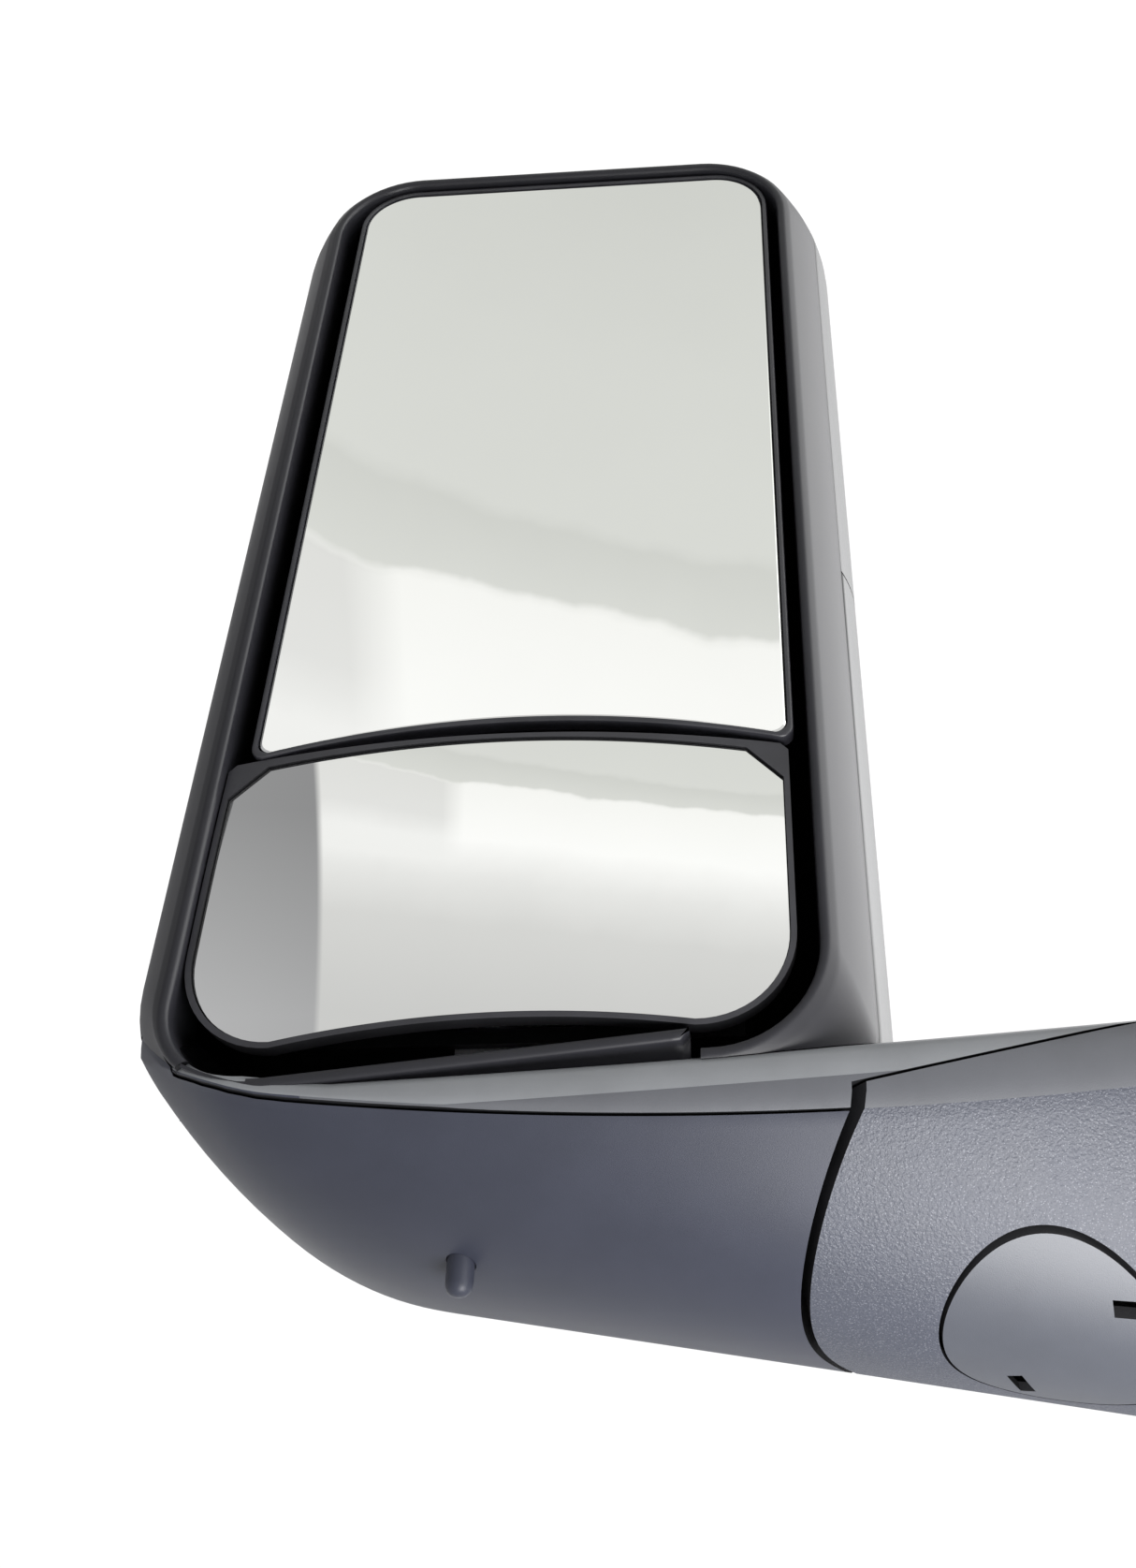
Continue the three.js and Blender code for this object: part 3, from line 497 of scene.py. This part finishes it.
def mixed(tree, kind, factor, a, b):
    """Two colours mixed by a blend type; each input is a number, a colour or a socket."""
    node = tree.nodes.new("ShaderNodeMix")
    node.data_type = "RGBA"
    node.blend_type = kind
    # A Mix node has several inputs named A and B; the colour ones are numbers 6 and 7.
    for socket, value in ((node.inputs["Factor"], factor), (node.inputs[6], a), (node.inputs[7], b)):
        if isinstance(value, (int, float)):
            socket.default_value = value
        elif isinstance(value, tuple):
            socket.default_value = (*value, 1)
        else:
            tree.links.new(value, socket)
    return node.outputs[2]


def material(
    name, color, roughness, grain, metallic=0.0, mottle=(45.0, 0.25), spread=0.05, sheen=0.5, glint_specks=None
):
    """Plastic or metal: a fine bumped grain, with slow changes of colour and roughness over the surface.

    grain is (scale, strength), mottle is (scale, change of colour), glint_specks is (scale, size, colour) of
    light specks painted on as glints on the grain's tops, spread is the change of roughness and sheen the
    specular level.
    """
    made = bpy.data.materials.new(name)
    made.use_nodes = True
    tree = made.node_tree
    shader = tree.nodes["Principled BSDF"]
    shader.inputs["Metallic"].default_value = metallic
    shader.inputs["Specular IOR Level"].default_value = sheen
    where = {"Vector": tree.nodes.new("ShaderNodeTexCoord").outputs["Object"]}
    noise = "ShaderNodeTexNoise"
    slow = linked_node(tree, noise, where, Scale=mottle[0], Detail=4.0, Roughness=0.55).outputs["Fac"]
    fine = linked_node(tree, noise, where, Scale=grain[0], Detail=3.0, Roughness=0.6).outputs["Fac"]
    dark = [c * (1 - mottle[1]) for c in color]
    light = [min(1.0, c * (1 + mottle[1])) for c in color]
    tint = color_ramp(tree, slow, ((0.3, dark), (0.7, light)))
    # Light specks on the grain: painted glints, where the bumps' tops catch the light.
    if glint_specks:
        scale, size, bright = glint_specks
        cells = linked_node(tree, "ShaderNodeTexVoronoi", where, Scale=scale)
        glint_dots = color_ramp(tree, cells.outputs["Distance"], ((0.0, bright), (size, (0, 0, 0))))
        tint = mixed(tree, "ADD", 1.0, tint, glint_dots)
    tree.links.new(tint, shader.inputs["Base Color"])
    limits = {"To_Min": roughness - spread, "To_Max": roughness + spread}
    rough = linked_node(tree, "ShaderNodeMapRange", {"Value": slow}, **limits)
    tree.links.new(rough.outputs["Result"], shader.inputs["Roughness"])
    bump = linked_node(tree, "ShaderNodeBump", {"Height": fine}, Strength=grain[1], Distance=0.0004)
    tree.links.new(bump.outputs["Normal"], shader.inputs["Normal"])
    return made


EVEN = dict(mottle=(45.0, 0.06), spread=0.02)
FINE_GRAIN = (2600.0, 0.12)
COVER_GRAIN = (2400.0, 0.15)
# A lighter grey than the plastic is: painted sheen, where the light from above catches the top cover's
# crest.
CREST_SHEEN = material("crest_painted_sheen", (0.125, 0.130, 0.138), 0.45, FINE_GRAIN, **EVEN)
SATIN = material("satin_grain", (0.021, 0.023, 0.034), 0.42, FINE_GRAIN, sheen=0.25, **EVEN)
BACK = material("back_grain", (0.030, 0.031, 0.033), 0.42, FINE_GRAIN, **EVEN)
# The pebbled plastic, with painted glint specks over its grain.
PEBBLE = material(
    "pebble_grain", (0.027, 0.030, 0.043), 0.5, (900.0, 1.0), mottle=(45.0, 0.06), spread=0.03,
    glint_specks=(1100.0, 0.34, (0.085, 0.085, 0.09)),
)
CAP_FINISH = material("cap_satin", (0.033, 0.036, 0.046), 0.45, COVER_GRAIN, **EVEN)
BAND = material("fine_band", (0.056, 0.058, 0.066), 0.45, COVER_GRAIN, **EVEN)
RIM_FINISH = material(
    "rim_satin", (0.013, 0.013, 0.016), 0.42, (3200.0, 0.06), mottle=(45.0, 0.1), spread=0.02, sheen=0.25
)
# Near-black: the inner plastic parts' own colour, and painted shade on every piece's cut faces, which are
# the same plastic in shadow.
INNER_BLACK_AND_CUT_SHADE = material("inner_black_and_painted_cut_shade", (0.005, 0.005, 0.006), 0.6, (1500.0, 0.2), sheen=0.15)
HOLDER = material("holder_black", (0.016, 0.016, 0.020), 0.4, (3000.0, 0.05))
MIRROR = material(
    "silvered_glass", (0.90, 0.905, 0.89), 0.015, (6.0, 0.0), metallic=1.0, mottle=(8.0, 0.01), spread=0.005
)
RUBBER = material("black_rubber", (0.018, 0.018, 0.018), 0.8, (900.0, 0.4))
ALUMINIUM = material(
    "cast_aluminium", (0.58, 0.59, 0.61), 0.45, (700.0, 0.4), metallic=1.0, mottle=(30.0, 0.08)
)
STEEL = material("plated_steel", (0.62, 0.62, 0.60), 0.32, (1200.0, 0.1), metallic=1.0, mottle=(90.0, 0.12))
BRASS = material("bearing_brass", (0.66, 0.50, 0.24), 0.35, (1200.0, 0.1), metallic=1.0, mottle=(80.0, 0.12))
FOIL = material("heater_foil", (0.45, 0.18, 0.08), 0.5, (500.0, 0.15), mottle=(200.0, 0.2))
MOTOR = material("motor_casing", (0.75, 0.74, 0.70), 0.5, (1500.0, 0.1), mottle=(60.0, 0.05))
FINISH = {
    "grained_plastic": SATIN, "pebbled_plastic": PEBBLE, "rim_plastic": RIM_FINISH, "inner_plastic": INNER_BLACK_AND_CUT_SHADE,
    "black_rubber": RUBBER, "cast_aluminium": ALUMINIUM, "plated_steel": STEEL, "bearing_brass": BRASS,
    "silvered_glass": MIRROR, "heater_foil": FOIL, "motor_casing": MOTOR,
}
for entry in frame["record"]["subparts"]:
    data = NODES[entry["node"]].data
    data.materials.clear()
    data.materials.append(FINISH[entry["material_slot"]])

# ------------------------------------------------------------------ the folding arm
ARM_SPAN = (-200.0, 400.0)
# Left of RIM_REACH the arm's covers leave room for what sits inside the rim.
RIM_REACH = -72.0


def folding_wall():
    return cut(common(arm_outer(), folding_space(0)), common(arm_inner(), folding_space(WALL)))


def head_clearance():
    inside = loft([rim_loop(GAP, -4), rim_loop(GAP, FAR)])
    return common(box(-FAR, RIM_REACH, -FAR, FAR, -FAR, FAR), inside)


def outer_end(right, left=-FAR):
    return box(left, right, -FAR, FAR, -FAR - 1, FAR)


def screw_holes(places, start):
    return [in_depth(disc(SCREW_HOLE, start, 200, 32), x, z) for x, z in places]


def rim_foot():
    """The rim's lower edge on the arm's top cover: a rounded bar, with a web down to the crest."""
    bar_back, web_front, web_back = 10, 7, 11

    def line(x):
        return RIM_BOTTOM - 5.8 + 0.09 * (x + 75) + 0.009 * left_of(x, -75) ** 2

    def drop(x):
        rounded = LIP * min(1.0, 0.25 + math.sqrt(max(0.0, FOOT_RIGHT - x) / 4))
        return min(rounded, line(x) - arm_seam(x) - 2)

    def bar_section(x):
        top, low = line(x), line(x) - drop(x)
        upper = [(1.4, top), (0.4, top - 0.5), (0.0, top - 1.6)]
        lower = [(0.0, low + 1.2), (0.5, low + 0.3), (1.5, low)]
        return [(x, y, z) for y, z in [*upper, *lower, (bar_back, low), (bar_back, top)]]

    def web_section(x):
        top, low = line(x) - 1, min(arm_crest(x) - 2, line(x) - 2)
        return [(x, web_front, top), (x, web_front, low), (x, web_back, low), (x, web_back, top)]

    stations = np.linspace(FOOT_LEFT, FOOT_RIGHT, 60)
    bar = loft([bar_section(x) for x in stations])
    return join(bar, loft([web_section(x) for x in stations]))


def lower_shell():
    probe = placed(disc(SENSOR_RADIUS + GAP, *PROBE_HOLE, 48), at(SENSOR_X, SENSOR_Y, 0))
    under = join(below(lambda x: arm_seam(x) - SHUT / 2, *ARM_SPAN), outer_end(OUTER_END - SHUT))
    made = cut(common(folding_wall(), under), head_clearance(), probe, *screw_holes(ARM_SCREWS, 90))
    smooth_normals(made, arm_outer())
    finish_piece(made, "folding_arm_lower_shell", "head", "grained_plastic", "arm_lower_shell", SATIN)


def top_cover():
    seam = below(lambda x: arm_seam(x) + SHUT / 2, *ARM_SPAN)
    above = cut(folding_wall(), seam, outer_end(OUTER_END, -FAR - 1))
    hub = placed(disc(HUB_HOLE, 40, HUB_TOP, 48), ON_AXIS)
    made = join(cut(above, head_clearance(), box(*MAST_HOLE), hub), rim_foot())
    smooth_normals(made, arm_outer(), rim_foot())

    # Above the crease the cover is painted lighter, as sheen from the light above; below it the band's own
    # finish, and the shell's left of BAND_LEFT.
    def crest_or_band(x, z):
        if z >= crease(arm_crest(x), arm_seam(x)):
            return MAIN
        return FOURTH if x < BAND_LEFT else THIRD

    repaint(made, crest_or_band)
    finishes = (CREST_SHEEN, RIM_FINISH, BAND, SATIN)
    finish_piece(made, "folding_arm_top_cover", "head", "grained_plastic", "arm_top_cover", *finishes)


lower_shell()
top_cover()

# ------------------------------------------------------------------ the fixed arm
BASE_SPAN = (100.0, 400.0)
# Two tool slots in the round cap: half length, place on the cap and turn in degrees.
CAP_SLOTS = [(6.0, (23.5, -18.4), 0), (7.5, (-11.6, 25.0), 68)]
CAP_SLOT_WIDTH = 5.2


def base_line(x):
    return arm_crest(x) - 0.5


def fixed_wall():
    return cut(common(arm_outer(), fixed_space(0)), common(arm_inner(), fixed_space(WALL)))


def recess(clearance):
    """The round space about the pivot's axis, where the folding arm's lid turns."""
    return placed(disc(RECESS + clearance, -FAR - 1, FAR, 144), ON_AXIS)


def base_shell():
    under = join(below(base_line, *BASE_SPAN), recess(-0.7))
    cap_hole = placed(disc(CAP + CAP_GAP, -FAR, CAP_TOP, 120), ON_AXIS)
    hub_hole = placed(disc(HUB_HOLE, 20, 200, 48), ON_AXIS)
    holes = [placed(disc(DOOR_SCREW_HOLE, -400, -300, 32), at(x, y, 0)) for x, y in DOOR_SCREWS]
    made = cut(common(fixed_wall(), under), cap_hole, hub_hole, *holes)
    smooth_normals(made, arm_outer())
    repaint(made, lambda x, z: SECOND if z > arm_seam(x) + 0.2 else MAIN)
    finish_piece(made, "fixed_arm_shell", "base", "pebbled_plastic", "base_shell", PEBBLE, BAND)


def base_cover():
    made = cut(fixed_wall(), below(lambda x: base_line(x) + GAP, *BASE_SPAN), recess(GAP))
    smooth_normals(made, arm_outer())
    finish_piece(made, "fixed_arm_top_cover", "base", "pebbled_plastic", "base_top_cover", BAND)


def pivot_cap():
    dish = placed(disc(CAP, -FAR, CAP_TOP, 120), ON_AXIS @ at(0, CAP_GAP / 2, 0))
    slots = []
    for half, (x, y), degrees in CAP_SLOTS:
        bar = box(-half, half, -CAP_SLOT_WIDTH / 2, CAP_SLOT_WIDTH / 2, -FAR, CAP_TOP)
        slots.append(placed(bar, ON_AXIS @ at(x, y, 0) @ Matrix.Rotation(math.radians(degrees), 4, "Z")))
    made = cut(common(arm_outer(), dish), arm_inner(), *slots)
    smooth_normals(made, arm_outer())
    finish_piece(made, "round_pivot_cap", "base", "pebbled_plastic", "pivot_cap", CAP_FINISH)


base_shell()
base_cover()
pivot_cap()

# ------------------------------------------------------------------ the head
SHELL_DEPTHS = [*np.linspace(BEZEL_BACK + 0.6, HEAD_WIDEST, 14)]
SHELL_DEPTHS += [*np.linspace(HEAD_WIDEST + 3, HEAD_DEPTH, 26)]


def head_shell():
    inner_depths = [*np.linspace(BEZEL_BACK - 0.4, HEAD_WIDEST, 6)]
    inner_depths += [*np.linspace(HEAD_WIDEST + 6, HEAD_DEPTH - WALL, 12)]
    return cut(head_form(SHELL_DEPTHS), head_form(inner_depths, WALL))


def tongue():
    """A lip inside the upper cover that closes its joint with the lower one.

    Its root overlaps the upper cover's wall, and its tip clears the lower cover's.
    """
    depths = np.linspace(BEZEL_BACK + 2, HEAD_DEPTH - 6, 24)
    core = head_form(np.linspace(BEZEL_BACK - 2, HEAD_DEPTH - 8, 24), WALL + 2)
    root = common(head_form(depths, WALL - 0.6), layer(COVER_SPLIT + 1, COVER_SPLIT + 5))
    tip = common(head_form(depths, WALL + 0.3), layer(COVER_SPLIT - 4, COVER_SPLIT + 3))
    return cut(join(root, tip), core)


def upper_back_cover():
    made = cut(head_shell(), layer(-FAR, COVER_SPLIT + SHUT / 2), *screw_holes(COVER_SCREWS, 100))
    made = join(made, tongue())
    smooth_normals(made, head_form(SHELL_DEPTHS))
    finish_piece(made, "head_back_cover_upper", "head", "grained_plastic", "back_cover_upper", BACK)


def lower_back_cover():
    above, foot = layer(COVER_SPLIT - SHUT / 2, FAR), layer(-FAR, COVER_FOOT)
    made = cut(head_shell(), above, arm_clearance(), foot, *screw_holes(COVER_SCREWS, 100))
    smooth_normals(made, head_form(SHELL_DEPTHS))
    finish_piece(made, "head_back_cover_lower", "head", "grained_plastic", "back_cover_lower", BACK)


def bezel_ring():
    """The rim's rounded lip, out along the head's front, and back inside it to the opening."""
    lip = [(0.0, 2.2), (0.15, 1.2), (0.6, 0.45), (1.4, 0.05), (2.6, 0.0), (3.6, 0.2), (4.2, 0.7)]
    loops = [rim_loop(offset, depth) for offset, depth in lip]
    loops += [head_loop(y) for y in (1.6, 3.0, 5.0, 8.0, 11.0, 14.0, 17.0, 20.0, BEZEL_BACK)]
    loops += [head_loop(BEZEL_BACK, WALL), head_loop(11, WALL)]
    loops += [rim_loop(LIP + 1, 4.5), rim_loop(2.5, RIM_DEPTH), rim_loop(0, RIM_DEPTH)]
    return loft(loops, ring=True)


def bezel():
    """The rim and the head's front edge, open below where the arm's top cover carries the rim."""
    left, outer, right, top = -101, -160, 74, RIM_BOTTOM + 14
    slant = [(left, top), (left, RIM_BOTTOM + 2.2), (outer, RIM_BOTTOM - 29.3)]
    opening = prism([*slant, (outer, -FAR), (right, -FAR), (right, top)], -FAR, FAR)
    made = cut(bezel_ring(), opening, arm_clearance())
    smooth_normals(made, bezel_ring())
    finish_piece(made, "head_bezel", "head", "rim_plastic", "bezel_frame", RIM_FINISH)


upper_back_cover()
lower_back_cover()
bezel()

# ------------------------------------------------------------------ the glasses
QUARTER = math.pi / 2
DOME_X, DOME_Z = (LOWER["left"] + LOWER["right"]) / 2, (LOWER["bottom"] + LOWER["end"]) / 2
# Inner and outer radius and back of the sockets in a holder.
SWIVEL_SOCKET = (15.5, 19.0, 17.0)
JACK_SOCKET = (5.0, 7.5, 15.0)


def arc(x, z, radius, start, stop, steps=16):
    return [(x + radius * math.cos(a), z + radius * math.sin(a)) for a in np.linspace(start, stop, steps)]


def upper_outline(grow):
    """Four round corners; the lower edge arches up in the middle."""
    g, tight = UPPER, UPPER_FOOT_CORNER
    foot = g["end"] - grow
    half = (g["right"] - g["left"]) / 2 + grow - tight
    middle = (g["left"] + g["right"]) / 2
    high, wide = g["top"] - g["corner"], g["corner"] + grow
    points = [(middle + half * t, foot + g["arch"] * (1 - t * t)) for t in np.linspace(-1, 1, 48)]
    points += arc(g["right"] + grow - tight, foot + tight, tight, -QUARTER, 0, 8)[1:]
    points += arc(g["right"] - g["corner"], high, wide, 0, QUARTER)
    points += arc(g["left"] + g["corner"], high, wide, QUARTER, math.pi)
    points += arc(g["left"] - grow + tight, foot + tight, tight, math.pi, 3 * QUARTER, 8)[:-1]
    return points


def lower_outline(grow, clip=LOWER_CLIP):
    """Two round lower corners, a lower edge that bends and rises, and an arched top with clipped corners."""
    g = LOWER
    half = (g["right"] - g["left"]) / 2 + grow - clip
    middle = (g["left"] + g["right"]) / 2
    top = g["end"] + grow
    foot = (g["right"] - g["left"]) / 2 - g["corner"]
    wide = g["corner"] + grow
    points = arc(g["left"] + g["corner"], g["bottom"] + g["corner"], wide, math.pi, 3 * QUARTER)
    low = g["bottom"] - grow
    for t in np.linspace(-1, 1, 40)[1:-1]:
        points.append((middle + foot * t, low + LOWER_ARCH * (1 - t * t) + LOWER_RISE * (t + 1) / 2))
    right_foot = g["bottom"] + LOWER_RISE + g["corner"]
    points += arc(g["right"] - g["corner"], right_foot, wide, 3 * QUARTER, 4 * QUARTER)
    points.append((g["right"] + grow, top - clip))
    points += [(middle + half * t, top + g["arch"] * (1 - t * t)) for t in np.linspace(1, -1, 48)]
    points.append((g["left"] - grow, top - clip))
    return points


def dome(front, back):
    """A lens between two depths whose faces both have the convex glass's radius."""

    def face(depth, radii):
        return [(r, depth + CONVEX - math.sqrt(CONVEX**2 - r * r)) for r in radii]

    radii = np.linspace(0, DOME_RADIUS, 28)
    return in_depth(turned(face(front, radii) + face(back, radii[::-1]), 120), DOME_X, DOME_Z)


def dome_normals(obj):
    """Shade the front of the convex glass as a sphere of the radius such a glass reflects with."""
    mesh = obj.data
    work = bmesh.new()
    work.from_mesh(mesh)
    bmesh.ops.remove_doubles(work, verts=work.verts, dist=0.002)
    work.to_mesh(mesh)
    work.free()
    centre = Vector((DOME_X, CONVEX, DOME_Z))
    shading_centre = Vector((DOME_X, CONVEX_SHADING, DOME_Z))
    normals = [None] * len(mesh.loops)
    for polygon in mesh.polygons:
        polygon.use_smooth = True
        on_front = abs((polygon.center - centre).length - CONVEX) < NEAR_FORM
        for index in polygon.loop_indices:
            outward = mesh.vertices[mesh.loops[index].vertex_index].co - shading_centre
            normals[index] = outward.normalized() if on_front else polygon.normal
    mesh.normals_split_custom_set(normals)


def socket(size, front, x, z):
    inner, outer, back = size
    ring = [(inner, front), (outer, front), (outer, back), (inner, back)]
    return in_depth(turned(ring, 48), x, z)


def sockets(z, front):
    """The holder's ball socket at a swivel's height, with the sockets of its two jacks."""
    return [
        socket(SWIVEL_SOCKET, front, GLASS_MIDDLE, z),
        socket(JACK_SOCKET, front, GLASS_MIDDLE + JACK_ARM, z),
        socket(JACK_SOCKET, front, GLASS_MIDDLE, z + JACK_ARM),
    ]


def layered(outline, grow, layers):
    """A form from layers of (more growth, depth) of an outline."""
    return loft([[(x, depth, z) for x, z in outline(grow + more)] for more, depth in layers])


def upper_holder():
    front = GLASS_FRONT
    rounded = [(-1.3, front - 1), (-0.6, front - 0.9), (-0.2, front - 0.6), (0, front), (0, HOLDER_BACK)]
    pocket = prism(upper_outline(GAP), -FAR, front + GLASS_THICK + 1.6)
    tray = cut(layered(upper_outline, HOLDER_RIM, rounded), pocket)
    made = join(tray, *sockets(UPPER["swivel"], HOLDER_BACK - 1))
    smooth_by_angle(made)
    finish_piece(made, "upper_mirror_backing", "upper_tilt", "inner_plastic", "upper_glass_holder", HOLDER)


def upper_glass():
    front = GLASS_FRONT
    ground = [(-1.0, front), (-0.3, front + 0.25), (0, front + 0.9), (0, front + GLASS_THICK)]
    made = layered(upper_outline, 0, ground)
    finish_piece(made, "upper_flat_mirror", "upper_tilt", "silvered_glass", "upper_mirror_glass", MIRROR)


def lower_holder():
    tray = common(prism(lower_outline(HOLDER_RIM, 3), -20, HOLDER_BACK + 4), dome(-1.2, HOLDER_BACK - 4))
    pocket = common(prism(lower_outline(GAP), -20, 20), dome(-20, GLASS_THICK + 2.0))
    made = join(cut(tray, pocket), *sockets(LOWER["swivel"], HOLDER_BACK - 4.4))
    smooth_normals(made, dome(-1.2, HOLDER_BACK - 4))
    finish_piece(made, "lower_mirror_backing", "lower_tilt", "inner_plastic", "lower_glass_holder", HOLDER)


def lower_glass():
    made = common(prism(lower_outline(0), -20, 30), dome(0, GLASS_THICK))
    dome_normals(made)
    finish_piece(made, "lower_convex_mirror", "lower_tilt", "silvered_glass", "lower_mirror_glass", MIRROR)


upper_holder()
upper_glass()
lower_holder()
lower_glass()


# ------------------------------------------------------------------ the temperature sensor
def sensor():
    r, top, tip = SENSOR_RADIUS, SENSOR_TOP, SENSOR_TIP
    nose = [(0, tip), (1.6, tip + 0.1), (2.9, tip + 0.6), (4.0, tip + 1.6), (4.7, tip + 3), (r, tip + 5)]
    made = placed(turned([*nose, (r, top - 8), (r, top), (0, top)], 48), at(SENSOR_X, SENSOR_Y, 0))
    smooth_by_angle(made)
    finish_piece(made, "air_temperature_probe", "head", "grained_plastic", "temperature_sensor", SATIN)


sensor()

# ------------------------------------------------------------------ the floor
# In the frame's metres.
FLOOR_Z, FLOOR_HALF = -0.7, 6.0


def pale_floor():
    half = FLOOR_HALF
    corners = [(x, y, FLOOR_Z) for x, y in ((-half, -half), (half, -half), (half, half), (-half, half))]
    mesh = bpy.data.meshes.new("floor")
    mesh.from_pydata(corners, [], [(0, 1, 2, 3)])
    mesh.materials.append(material("pale_floor", (0.55, 0.55, 0.55), 0.7, (300.0, 0.05), mottle=(3.0, 0.02)))
    obj = bpy.data.objects.new("floor", mesh)
    bpy.context.scene.collection.objects.link(obj)


pale_floor()

# ------------------------------------------------------------------ the room that the glasses reflect
world = bpy.data.worlds.new("studio")
bpy.context.scene.world = world
world.use_nodes = True
sky = world.node_tree


def sky_math(operation, a, b):
    node = sky.nodes.new("ShaderNodeMath")
    node.operation = operation
    for target, value in zip(node.inputs, (a, b)):
        if isinstance(value, (int, float)):
            target.default_value = value
        else:
            sky.links.new(value, target)
    return node.outputs[0]


def sky_range(value, low, high, to_low=0.0, to_high=1.0):
    limits = {"From_Min": low, "From_Max": high, "To_Min": to_low, "To_Max": to_high}
    return linked_node(sky, "ShaderNodeMapRange", {"Value": value}, **limits).outputs["Result"]


def room():
    """A soft room by direction: X is to the door, Y forward, Z up, all from -1 to 1."""
    direction = sky.nodes.new("ShaderNodeTexCoord").outputs["Generated"]
    split = linked_node(sky, "ShaderNodeSeparateXYZ", {"Vector": direction})
    side, forward, up = (split.outputs[name] for name in "XYZ")

    # Seen backwards, by height: a pale wall, brightest at its top, then a greyer ceiling with a darker
    # strip at its edge. The edges run a little uphill and ripple.
    waves = {"Scale": 5.0, "Detail": 5.0, "Roughness": 0.55}
    wave = linked_node(sky, "ShaderNodeTexNoise", {"Vector": direction}, **waves).outputs["Fac"]
    ripple = sky_math("MULTIPLY", sky_math("SUBTRACT", wave, 0.5), 0.05)
    height = sky_math("ADD", sky_math("ADD", up, sky_math("MULTIPLY", side, 0.12)), ripple)
    tone = color_ramp(sky, height, (
        (0.20, (0.66, 0.66, 0.655)), (0.38, (0.74, 0.74, 0.73)), (0.46, (0.88, 0.88, 0.87)),
        (0.53, (1.08, 1.08, 1.07)), (0.632, (1.02, 1.02, 1.00)), (0.636, (0.76, 0.77, 0.74)),
        (0.672, (0.70, 0.71, 0.68)), (0.678, (0.76, 0.77, 0.74)), (0.760, (0.74, 0.75, 0.72)),
        (0.900, (0.66, 0.67, 0.64)),
    ))

    # The left end of the wall's bright top is dimmer.
    dimmer = sky_range(side, -0.292, -0.255, 0.80, 1.0)
    bright_top = sky_math("MULTIPLY", sky_range(height, 0.636, 0.630), sky_range(height, 0.49, 0.57))
    tone = mixed(sky, "MULTIPLY", bright_top, tone, dimmer)

    # Forward it is plain and pale, and it gets much brighter to the door's side, as from a window.
    ahead = sky_range(forward, -0.30, -0.10)
    tone = mixed(sky, "MIX", ahead, tone, (1.05, 1.05, 1.05))
    tone = mixed(sky, "MULTIPLY", 1.0, tone, sky_range(side, 0.38, 0.85, 1.0, 6.5))

    # Far left stands a dark wall, darker towards its top.
    from_left = sky_math("ADD", side, sky_math("MULTIPLY", ahead, 0.06))
    dark = color_ramp(sky, sky_math("MULTIPLY", from_left, -1.0), (
        (0.50, (0.42, 0.42, 0.43)), (0.95, (0.55, 0.55, 0.56)),
    ))
    dark = mixed(sky, "MULTIPLY", 1.0, dark, sky_range(up, 0.25, 0.60, 1.08, 0.72))
    tone = mixed(sky, "MIX", sky_range(from_left, -0.492, -0.482), dark, tone)
    sky.links.new(tone, sky.nodes["Background"].inputs["Color"])


room()

# ------------------------------------------------------------------ the light and the camera
# The light's places are in the frame's metres.
LIGHT_PLACE, LIGHT_TARGET = Vector((-0.07, -0.22, -0.31)), Vector((-0.14, 0.0, -0.02))
LIGHT_SIZE, LIGHT_POWER = 0.3, 4.8
# The camera's place is in head coordinates, and its turn is in degrees about X, Y and Z.
CAMERA_PLACE = np.array((101.3, -435.9, -430.1))
CAMERA_TURN = (123.226, 0.550, 3.342)
SENSOR_WIDTH, LENS, SHIFT = 36.0, 31.465, -0.09134


def soft_light():
    data = bpy.data.lights.new("under_light", "AREA")
    data.size = LIGHT_SIZE
    data.energy = LIGHT_POWER
    lamp = bpy.data.objects.new("under_light", data)
    lamp.location = LIGHT_PLACE
    lamp.rotation_mode = "QUATERNION"
    lamp.rotation_quaternion = (LIGHT_TARGET - LIGHT_PLACE).to_track_quat("-Z", "Y")
    bpy.context.scene.collection.objects.link(lamp)


def camera():
    """A view from in front of the glasses and below them, looking up."""
    data = bpy.data.cameras.new("camera")
    data.sensor_width = SENSOR_WIDTH
    data.lens = LENS
    data.shift_x = SHIFT
    data.clip_start = 0.01
    made = bpy.data.objects.new("camera", data)
    made.location = (CAMERA_PLACE - DOOR) / 1000
    made.rotation_euler = [math.radians(degrees) for degrees in CAMERA_TURN]
    bpy.context.scene.collection.objects.link(made)
    bpy.context.scene.camera = made


soft_light()
camera()
bpy.context.scene.view_settings.view_transform = "Standard"
